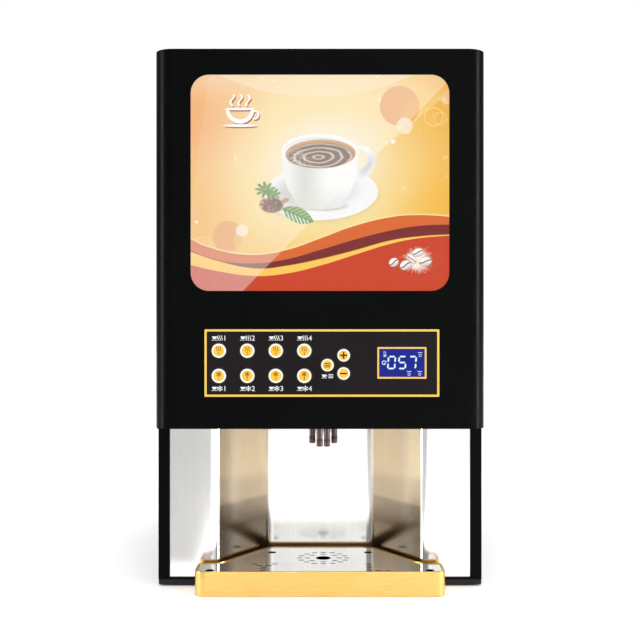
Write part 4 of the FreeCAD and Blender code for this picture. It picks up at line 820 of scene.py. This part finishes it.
def dark_rims():
    """Thin black surrounds round the buttons."""
    low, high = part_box("control_panel")
    front = low.y
    soup = Soup()
    drinks = [f"button_{kind}_{i}" for kind in ("hot", "cold") for i in range(1, 5)]
    for name in drinks + ["button_menu", "button_plus", "button_minus"]:
        a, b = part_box(name)
        radius = (b.x - a.x) / 2 - 1.2 * MM
        centre = ((a.x + b.x) / 2, front, (a.z + b.z) / 2)
        soup.lathe([(radius + 0.35 * MM, 0.0), (radius + 0.5 * MM, -0.25 * MM), (radius + 1.1 * MM, -0.25 * MM),
                    (radius + 1.5 * MM, 0.0)], centre)
    soup.build("button_surrounds", "door", "panel_film", INK, smooth=True)


def seven_segment(soup, figure, x, z, width, height, y0, y1):
    """One figure of seven tapered bars, leaning a little."""
    bars = {"0": "abcdef", "1": "bc", "5": "afgcd", "7": "abc", "8": "abcdefg"}[figure]
    t, lean = width * 0.2, 0.08
    half_w, half_h = width / 2, height / 2
    flat = [(-half_w + t * 0.75, 0), (-half_w + t * 1.25, t / 2), (half_w - t * 1.25, t / 2), (half_w - t * 0.75, 0),
            (half_w - t * 1.25, -t / 2), (-half_w + t * 1.25, -t / 2)]
    tall = [(0, half_h - t * 0.75), (t / 2, half_h - t * 1.25), (t / 2, t * 0.75), (0, t * 0.25), (-t / 2, t * 0.75),
            (-t / 2, half_h - t * 1.25)]
    places = {"a": (flat, 0, half_h - t / 2), "g": (flat, 0, 0), "d": (flat, 0, -half_h + t / 2),
              "b": (tall, half_w - t / 2, 0), "f": (tall, -half_w + t / 2, 0),
              "c": (tall, half_w - t / 2, -half_h + t * 0.25), "e": (tall, -half_w + t / 2, -half_h + t * 0.25)}
    for bar in bars:
        outline, dx, dz = places[bar]
        soup.prism([(x + px + dx + lean * (pz + dz), z + pz + dz) for px, pz in outline], y0, y1)


def display():
    """Figures and small marks on the display's blue field."""
    glass_low, glass_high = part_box("lcd_module")
    x, z = (glass_low.x + glass_high.x) / 2, (glass_low.z + glass_high.z) / 2
    front = glass_low.y
    y0, y1 = front - 0.1 * MM, front + 0.1 * MM
    soup = Soup()
    for figure, dx in (("0", -12.4), ("5", 0.4), ("7", 12.6)):
        seven_segment(soup, figure, x + dx * MM, z + 0.4 * MM, 10.2 * MM, 16.4 * MM, y0, y1)
    cup_mark(soup, x - 20.6 * MM, z + 8.6 * MM, 3.4 * MM, y0, y1, 0)
    steam_mark(soup, x - 20.6 * MM, z + 12.4 * MM, 2.8 * MM, y0, y1, 0)
    soup.stroke(arc(x - 21.4 * MM, z + 0.2 * MM, 2.2 * MM, 60, 300, 12), 1.0 * MM, y0, y1)
    soup.stroke([(x - 21 * MM, z - 1.6 * MM), (x - 18.6 * MM, z + 1.8 * MM)], 0.9 * MM, y0, y1)
    for dx, dz in ((22.0, 9.0), (21.4, -13.6), (8.6, -13.6)):
        soup.stroke(arc(x + dx * MM, z + dz * MM, 1.5 * MM, 0, 340, 14), 0.55 * MM, y0, y1)
        for k in (-1, 0, 1):
            middle, height = x + (dx + k * 1.9) * MM, z + (dz + 3.3) * MM
            soup.stroke([(middle - 0.6 * MM, height), (middle + 0.6 * MM, height)],
                        0.7 * MM, y0, y1)
    soup.build("display_figures", "door", "display", LCD_WHITE)


# ---- Cabinet, bay and tray -------------------------------------------------------------------------
def middle_of(name):
    low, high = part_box(name)
    return (low + high) / 2


def top_edges(name):
    """A flat CAD node's mesh, its top face's height, and the neighbours of each point on that face's edges."""
    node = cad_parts[name]
    bm = bmesh.new()
    bm.from_mesh(node.data)
    bm.transform(node.matrix_world)
    bmesh.ops.remove_doubles(bm, verts=bm.verts, dist=1e-6)
    top = max(v.co.z for v in bm.verts)
    chosen = {f for f in bm.faces if all(abs(v.co.z - top) < 1e-5 for v in f.verts)}
    rim = [e for e in bm.edges if sum(f in chosen for f in e.link_faces) == 1]
    neighbours = {}
    for e in rim:
        for a, b in (e.verts, reversed(e.verts)):
            neighbours.setdefault(a.index, []).append(b.index)
    bm.verts.ensure_lookup_table()
    return bm, top, neighbours


def outer_loop(name):
    """Outer edge of a flat CAD node's top face, as (x, y) points in order, and its height."""
    bm, top, neighbours = top_edges(name)
    start = min(neighbours, key=lambda i: bm.verts[i].co.x)
    loop, before, here = [start], None, start
    while True:
        options = [i for i in neighbours[here] if i != before]
        if not options or options[0] == start:
            break
        before, here = here, options[0]
        loop.append(here)
    points = [Vector((bm.verts[i].co.x, bm.verts[i].co.y)) for i in loop]
    bm.free()
    return points, top


def offset_loop(points, distance):
    area = sum(points[i - 1].x * points[i].y - points[i].x * points[i - 1].y for i in range(len(points)))
    turn = 1 if area > 0 else -1
    made = []
    for i, here in enumerate(points):
        way = (points[(i + 1) % len(points)] - points[i - 1]).normalized()
        made.append(here + Vector((way.y, -way.x)) * distance * turn)
    return made


def tray_line():
    """Brown band on the tray's gold rim, all the way round: painted shade for the shadowed groove between rim and grid.
    """
    points, _ = outer_loop("drip_grid")
    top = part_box("tray_band")[1].z
    count = len(points)
    rings = [(1.3, 0.0), (1.5, 0.22), (2.0, 0.22), (2.2, 0.0)]
    soup = Soup()
    verts = []
    for distance, rise in rings:
        verts += [Vector((v.x, v.y, top + rise * MM)) for v in offset_loop(points, distance * MM)]
    faces = [[k * count + i, k * count + (i + 1) % count,
              (k + 1) * count + (i + 1) % count, (k + 1) * count + i]
             for k in range(len(rings) - 1) for i in range(count)]
    soup.add(verts, faces)
    soup.build("tray_rim_shade_line", "tray", "brown_plastic", TRAY_GROOVE_SHADE)


def nozzle_tips():
    """Rounded, glossy ends of the four outlets."""
    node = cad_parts["product_tubes"]
    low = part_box("product_tubes")[0]
    middle = middle_of("nozzle_holder").x
    ends = [node.matrix_world @ v.co for v in node.data.vertices]
    ends = [end for end in ends if end.z < low.z + 3.6 * MM]
    outer, bore = 3.95 * MM, 2.3 * MM
    profile = [(outer - 0.2 * MM, 9 * MM), (outer, 8.6 * MM), (outer, 1.2 * MM)]
    for a in range(15, 91, 15):
        turn = math.radians(a)
        profile.append((outer - 1.1 * MM * (1 - math.cos(turn)), 1.2 * MM - 1.5 * MM * math.sin(turn)))
    profile += [(bore, -0.2 * MM), (bore, 2.5 * MM)]
    soup = Soup()
    for number in range(4):
        x = middle + (number - 1.5) * 9.3 * MM
        near = [end for end in ends if abs(end.x - x) < 4.2 * MM]
        if near:
            y = (min(end.y for end in near) + max(end.y for end in near)) / 2
            soup.lathe(profile, (x, y, min(end.z for end in near)), "Z", 36)
    soup.build("nozzle_tips", "cabinet", "brown_plastic", BROWN, smooth=True)


def slot_wells():
    """Painted shadow: dark plates laid over the grid's cut slots, a little larger than them, stand in for the shade
    inside the slots.
    """
    margin, rise = 1.1 * MM, 0.05 * MM
    bm, top, neighbours = top_edges("drip_grid")
    soup, seen = Soup(), set()
    for start in sorted(neighbours):
        if start in seen:
            continue
        loop, here = [], start
        while here is not None and here not in seen:
            seen.add(here)
            loop.append(here)
            here = next((i for i in neighbours[here] if i not in seen), None)
        points = [Vector((bm.verts[i].co.x, bm.verts[i].co.y)) for i in loop]
        wide = max(v.x for v in points) - min(v.x for v in points)
        deep = max(v.y for v in points) - min(v.y for v in points)
        if len(points) > 2 and max(wide, deep) < 14 * MM and wide * deep < 90 * MM * MM:
            area = sum(points[i - 1].cross(points[i]) for i in range(len(points)))
            if area < 0:
                points.reverse()
            middle = sum(points, Vector((0, 0))) / len(points)
            grown = [v + (v - middle).normalized() * margin for v in points]
            soup.add([Vector((v.x, v.y, top + rise)) for v in grown], [list(range(len(grown)))])
    bm.free()
    s = Shade("slot shadow")
    tone = s.mix(s.span(s.noise(40, 2), 0.3, 0.7), srgb(9, 9, 10), srgb(15, 14, 14))
    s.set(Base_Color=tone, Roughness=0.9, Specular_IOR_Level=0.0)
    soup.build("grid_slot_shadow_plates", "grid", "stainless", s.material)


def side_louvres():
    """Pressed louvres low on both sides, beside the cooling unit, and screws along the roof's rear edge."""
    low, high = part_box("cabinet_shell")
    soup = Soup()
    for side in (-1, 1):
        x = high.x if side > 0 else low.x
        for column in (0, 1):
            for row in range(9):
                y0 = high.y - (70 + column * 92) * MM
                z = low.z + (44 + row * 15) * MM
                outline = [(0, 0), (1.5, 0.6), (1.7, 3.2), (0.9, 5.2), (0, 6.2)]
                verts = []
                for y, inset in ((y0 - 74 * MM, 0.0), (y0 - 71 * MM, 1.0), (y0 - 3 * MM, 1.0), (y0, 0.0)):
                    verts += [Vector((x + side * px * MM * inset, y, z + pz * MM)) for px, pz in outline]
                n = len(outline)
                faces = [[k * n + i, k * n + i + 1, (k + 1) * n + i + 1, (k + 1) * n + i]
                         for k in range(3) for i in range(n - 1)]
                soup.add(verts, [f[::-1] for f in faces] if side > 0 else faces)
    soup.build("side_louvres", "cabinet", "black_paint", BLACK)
    screws = Soup()
    for x in (-150, -50, 50, 150):
        centre = (x * MM, high.y - 9 * MM, high.z)
        profile = ((3.6, 0), (3.4, 0.7), (2.2, 1.2), (0.9, 1.3), (0.7, 0.7), (0, 0.6))
        screws.lathe([(r * MM, h * MM) for r, h in profile],
                     centre, "Z", 28)
    screws.build("roof_screws", "cabinet", "screw_steel", CHROME, smooth=True)


def rear_details():
    """Lips over the vents, rings over the fan's grille and marks beside the switch."""
    low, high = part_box("rear_panel")
    lips = Soup()
    for row in range(8):
        z = high.z - (54.5 + row * 12) * MM
        for x in (-90, 0, 90):
            y = high.y
            verts = [Vector((x * MM + sx * 31 * MM, y + dy * MM, z + dz * MM)) for sx in (-1, 1)
                     for dy, dz in ((0, 1.6), (1.9, 0.3), (2.3, -2.4), (1.7, -2.5), (1.3, 0.0), (0, 0.6))]
            ends = [[5, 4, 3, 2, 1, 0], [6, 7, 8, 9, 10, 11]]
            lips.add(verts, [[i, i + 1, i + 7, i + 6] for i in range(5)] + ends)
    lips.build("rear_vent_lips", "cabinet", "gray_paint", ZINC)
    fan = middle_of("fan_rotor")
    guard = Soup()
    for radius in (12, 22, 32, 42, 51):
        ring = [(radius * MM + 0.9 * MM * math.cos(a), 1.6 * MM + 0.9 * MM * math.sin(a))
                for a in [math.radians(45 * k) for k in range(9)]]
        guard.lathe(ring, (fan.x, high.y, fan.z), "Y", 72)
    for turn in (45, 135):
        a = math.radians(turn)
        reach = Vector((math.cos(a), 0, math.sin(a))) * 55 * MM
        centre = Vector((fan.x, high.y + 0.9 * MM, fan.z))
        guard.pipe([centre - reach, centre, centre + reach], 0.9 * MM, sides=10, samples=3)
    guard.build("fan_guard", "cabinet", "screw_steel", CHROME, smooth=True)
    rocker = middle_of("rocker_switch")
    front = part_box("rocker_switch")[1].y
    marks = Soup()
    marks.block((rocker.x - 0.6 * MM, front - 1.5 * MM, rocker.z - 7.6 * MM),
                (rocker.x + 0.6 * MM, front - 0.62 * MM, rocker.z - 3.6 * MM))
    marks.lathe([(1.5 * MM, 0.0), (1.5 * MM, -1.0 * MM), (2.2 * MM, -1.0 * MM), (2.2 * MM, 0.0), (1.5 * MM, 0.0)],
                (rocker.x, front + 0.1 * MM, rocker.z + 5.6 * MM), "Y", 28)
    marks.build("switch_marks", "rocker", "white_plastic", WHITE_PLASTIC)


def door_gasket():
    """Soft seal round the back of the door."""
    low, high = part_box("door_liner")
    soup = Soup()
    x0, x1, z0, z1 = low.x + 12 * MM, high.x - 12 * MM, low.z + 16 * MM, high.z - 16 * MM
    y = high.y
    corners = [(x1, z1, 45), (x0, z1, 135), (x0, z0, 225), (x1, z0, 315)]
    path = []
    for x, z, turn in corners:
        cx = x - 10 * MM * (1 if x > 0 else -1)
        cz = z - 10 * MM * (1 if z == z1 else -1)
        path += [(cx + 10 * MM * math.cos(math.radians(a)), cz + 10 * MM * math.sin(math.radians(a)))
                 for a in range(turn - 45, turn + 46, 9)]
    section = [(-3.2, 0.0), (-2.8, 1.2), (-1.2, 1.9), (1.2, 1.9), (2.8, 1.2), (3.2, 0.0)]
    count, n = len(path), len(section)
    verts = []
    for i, here in enumerate(path):
        way = (Vector(path[(i + 1) % count]) - Vector(path[i - 1])).normalized()
        for across, rise in section:
            verts.append(Vector((here[0] + way.y * across * MM, y + rise * MM, here[1] - way.x * across * MM)))
    faces = [[i * n + k, ((i + 1) % count) * n + k, ((i + 1) % count) * n + k + 1, i * n + k + 1]
             for i in range(count) for k in range(n - 1)]
    soup.add(verts, faces)
    soup.build("door_gasket", "door", "rubber", RUBBER, smooth=True)


def powder_side():
    """Powder heaps in the canisters, water hoses to the mixing bowls and marks on the canisters."""
    random.seed(SEED)
    colours = (POWDER_COFFEE, POWDER_MILK, POWDER_COCOA, POWDER_TEA)
    bowls_low, bowls_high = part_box("mixing_bowls")
    bulkhead_low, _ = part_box("bulkhead")
    hoses, ticks = Soup(), Soup()
    for i in range(1, 5):
        low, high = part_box(f"canister_{i}")
        centre_x = (low.x + high.x) / 2
        auger_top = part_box(f"auger_{i}")[1].z
        back = high.y
        x0, x1, y0, y1 = low.x + 3.2 * MM, high.x - 3.2 * MM, high.y - 94.8 * MM, back - 3.2 * MM
        base = auger_top + 1.5 * MM
        level = base + (62 + 11 * random.random()) * MM
        steps, heap = 22, Soup()
        bumps = [(random.uniform(x0, x1), random.uniform(y0, y1), random.uniform(6, 14) * MM,
                  random.uniform(10, 20) * MM) for _ in range(7)]
        verts = []
        for v in range(steps + 1):
            for u in range(steps + 1):
                x, y = x0 + (x1 - x0) * u / steps, y0 + (y1 - y0) * v / steps
                rise = sum(h * math.exp(-((x - bx) ** 2 + (y - by) ** 2) / (2 * r * r))
                           for bx, by, h, r in bumps)
                verts.append(Vector((x, y, level + rise * 0.6 + random.uniform(-0.5, 0.5) * MM)))
        n = steps + 1
        faces = [[v * n + u, v * n + u + 1, (v + 1) * n + u + 1, (v + 1) * n + u]
                 for v in range(steps) for u in range(steps)]
        edge = [u for u in range(n)] + [v * n + steps for v in range(1, n)]
        edge += [steps * n + u for u in range(steps - 1, -1, -1)] + [v * n for v in range(steps - 1, 0, -1)]
        start = len(verts)
        verts += [Vector((verts[k].x, verts[k].y, base)) for k in edge]
        count = len(edge)
        faces += [[edge[k], start + k, start + (k + 1) % count, edge[(k + 1) % count]] for k in range(count)]
        faces.append([start + k for k in range(count)])
        heap.add(verts, faces)
        heap.build(f"powder_{i}", "cabinet", "brown_plastic", colours[i - 1], smooth=True)
        rim = bowls_high.z
        bowl_y = bowls_low.y + 22 * MM
        route = [(centre_x + 24 * MM, bulkhead_low.y + 0.5 * MM, rim + 26 * MM),
                 (centre_x + 26 * MM, bulkhead_low.y - 22 * MM, rim + 20 * MM),
                 (centre_x + 23 * MM, bowl_y + 34 * MM, rim + 8 * MM),
                 (centre_x + 16 * MM, bowl_y + 14 * MM, rim + 1.2 * MM)]
        hoses.pipe(route, 3.0 * MM, sides=14)
        for k in range(7):
            z = low.z + (62 + k * 16) * MM
            wide = 9 if k % 3 == 0 else 5
            ticks.block((high.x - 12 * MM - wide * MM, low.y + 33.9 * MM, z),
                        (high.x - 12 * MM, low.y + 34.05 * MM, z + 0.9 * MM))
    hoses.build("water_hoses", "cabinet", "white_plastic", HOSE, smooth=True)
    ticks.build("canister_marks", "cabinet", "print", INK)


# ---- Camera and lights -----------------------------------------------------------------------------
def camera():
    data = bpy.data.cameras.new("camera")
    data.sensor_width = 36.0
    data.lens = 55.8
    holder = bpy.data.objects.new("camera", data)
    cabinet_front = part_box("cabinet_shell")[0].y
    holder.location = (0.0, cabinet_front - 1.228, 0.329)
    holder.rotation_euler = (math.radians(90), 0, 0)
    data.clip_start, data.clip_end = 0.05, 60
    scene.collection.objects.link(holder)
    scene.camera = holder


def area_light(name, place, target, size, power, colour=(1, 1, 1)):
    data = bpy.data.lights.new(name, "AREA")
    data.shape, data.size, data.size_y, data.energy, data.color = "RECTANGLE", size[0], size[1], power, colour
    holder = bpy.data.objects.new(name, data)
    holder.location = place
    holder.rotation_euler = (Vector(target) - Vector(place)).to_track_quat("-Z", "Y").to_euler()
    scene.collection.objects.link(holder)
    return holder


def studio():
    """White backdrop; a soft room that is darker on the left; strips beside the door's rounded corners.

    The gray card on the floor to the left is seen by reflections only."""
    world = bpy.data.worlds.new("studio")
    scene.world = world
    world.use_nodes = True
    tree = world.node_tree
    room = tree.nodes["Background"]

    def node(kind, *inputs, **settings):
        made = tree.nodes.new(kind)
        for key, value in settings.items():
            setattr(made, key, value)
        for socket, value in zip(made.inputs, inputs):
            if isinstance(value, bpy.types.NodeSocket):
                tree.links.new(value, socket)
            elif value is not None:
                socket.default_value = value
        return made

    def step(value, low, high, to_low, to_high):
        made = node("ShaderNodeMapRange", value, low, high, to_low, to_high)
        made.interpolation_type = "SMOOTHSTEP"
        return made.outputs["Result"]

    way = node("ShaderNodeSeparateXYZ", node("ShaderNodeTexCoord").outputs["Generated"])
    x, y, z = way.outputs
    front = step(y, -0.95, -0.5, 1.0, 0.0)
    level = step(x, -0.112, -0.082, 0.36, 1.25)
    sides = step(z, -0.1, 0.8, 0.14, 0.6)
    mixed = node("ShaderNodeMix", front, None, sides, level)
    tree.links.new(mixed.outputs[0], room.inputs[1])
    room.inputs[0].default_value = (1, 1, 1, 1)
    backdrop = node("ShaderNodeBackground", (1, 1, 1, 1), 1.0)
    seen = node("ShaderNodeLightPath").outputs["Is Camera Ray"]
    join = node("ShaderNodeMixShader", seen, room.outputs[0], backdrop.outputs[0])
    tree.links.new(join.outputs[0], tree.nodes["World Output"].inputs[0])
    area_light("left strip", (-1.25, -0.45, 0.42), (0, -0.2, 0.42), (0.25, 1.3), 12)
    area_light("right strip", (1.25, -0.45, 0.42), (0, -0.2, 0.42), (0.25, 1.3), 17)
    area_light("top soft box", (0, -0.5, 2.4), (0, -0.2, 0.0), (2.4, 1.8), 5)
    sun = bpy.data.lights.new("floor wash", "SUN")
    sun.energy, sun.angle = 1.95, 0.7
    wash = bpy.data.objects.new("floor wash", sun)
    scene.collection.objects.link(wash)
    floor = bpy.data.meshes.new("floor")
    floor.from_pydata([(-14, -14, 0), (14, -14, 0), (14, 14, 0), (-14, 14, 0)], [], [(0, 1, 2, 3)])
    holder = bpy.data.objects.new("floor", floor)
    s = Shade("pale floor")
    tone = s.mix(s.span(s.noise(3, 3), 0.3, 0.7), srgb(250, 250, 250), srgb(253, 253, 253))
    s.set(Base_Color=tone, Roughness=0.6)
    floor.materials.append(s.material)
    scene.collection.objects.link(holder)
    card = bpy.data.meshes.new("gray card")
    corners = [(-2.5, -3, 0.002), (-0.3, -3, 0.002), (-0.17, -0.3, 0.002), (-2.5, -0.3, 0.002)]
    card.from_pydata(corners, [], [(0, 1, 2, 3)])
    holder = bpy.data.objects.new("gray card", card)
    s = Shade("gray card")
    tone = s.mix(s.span(s.noise(3, 3), 0.3, 0.7), srgb(176, 176, 176), srgb(184, 184, 184))
    s.set(Base_Color=tone, Roughness=0.8)
    card.materials.append(s.material)
    holder.visible_camera = holder.visible_diffuse = holder.visible_shadow = False
    scene.collection.objects.link(holder)
    scene.view_settings.view_transform = "Standard"


dress_nodes()
for kind in ("hot", "cold"):
    for number in range(1, 5):
        button_face(f"button_{kind}_{number}", drink_mark(kind, number))
button_face("button_menu", menu_mark)
button_face("button_plus", plus_mark)
button_face("button_minus", minus_mark)
panel_labels()
dark_rims()
display()
tray_line()
nozzle_tips()
slot_wells()
side_louvres()
rear_details()
door_gasket()
powder_side()
camera()
studio()
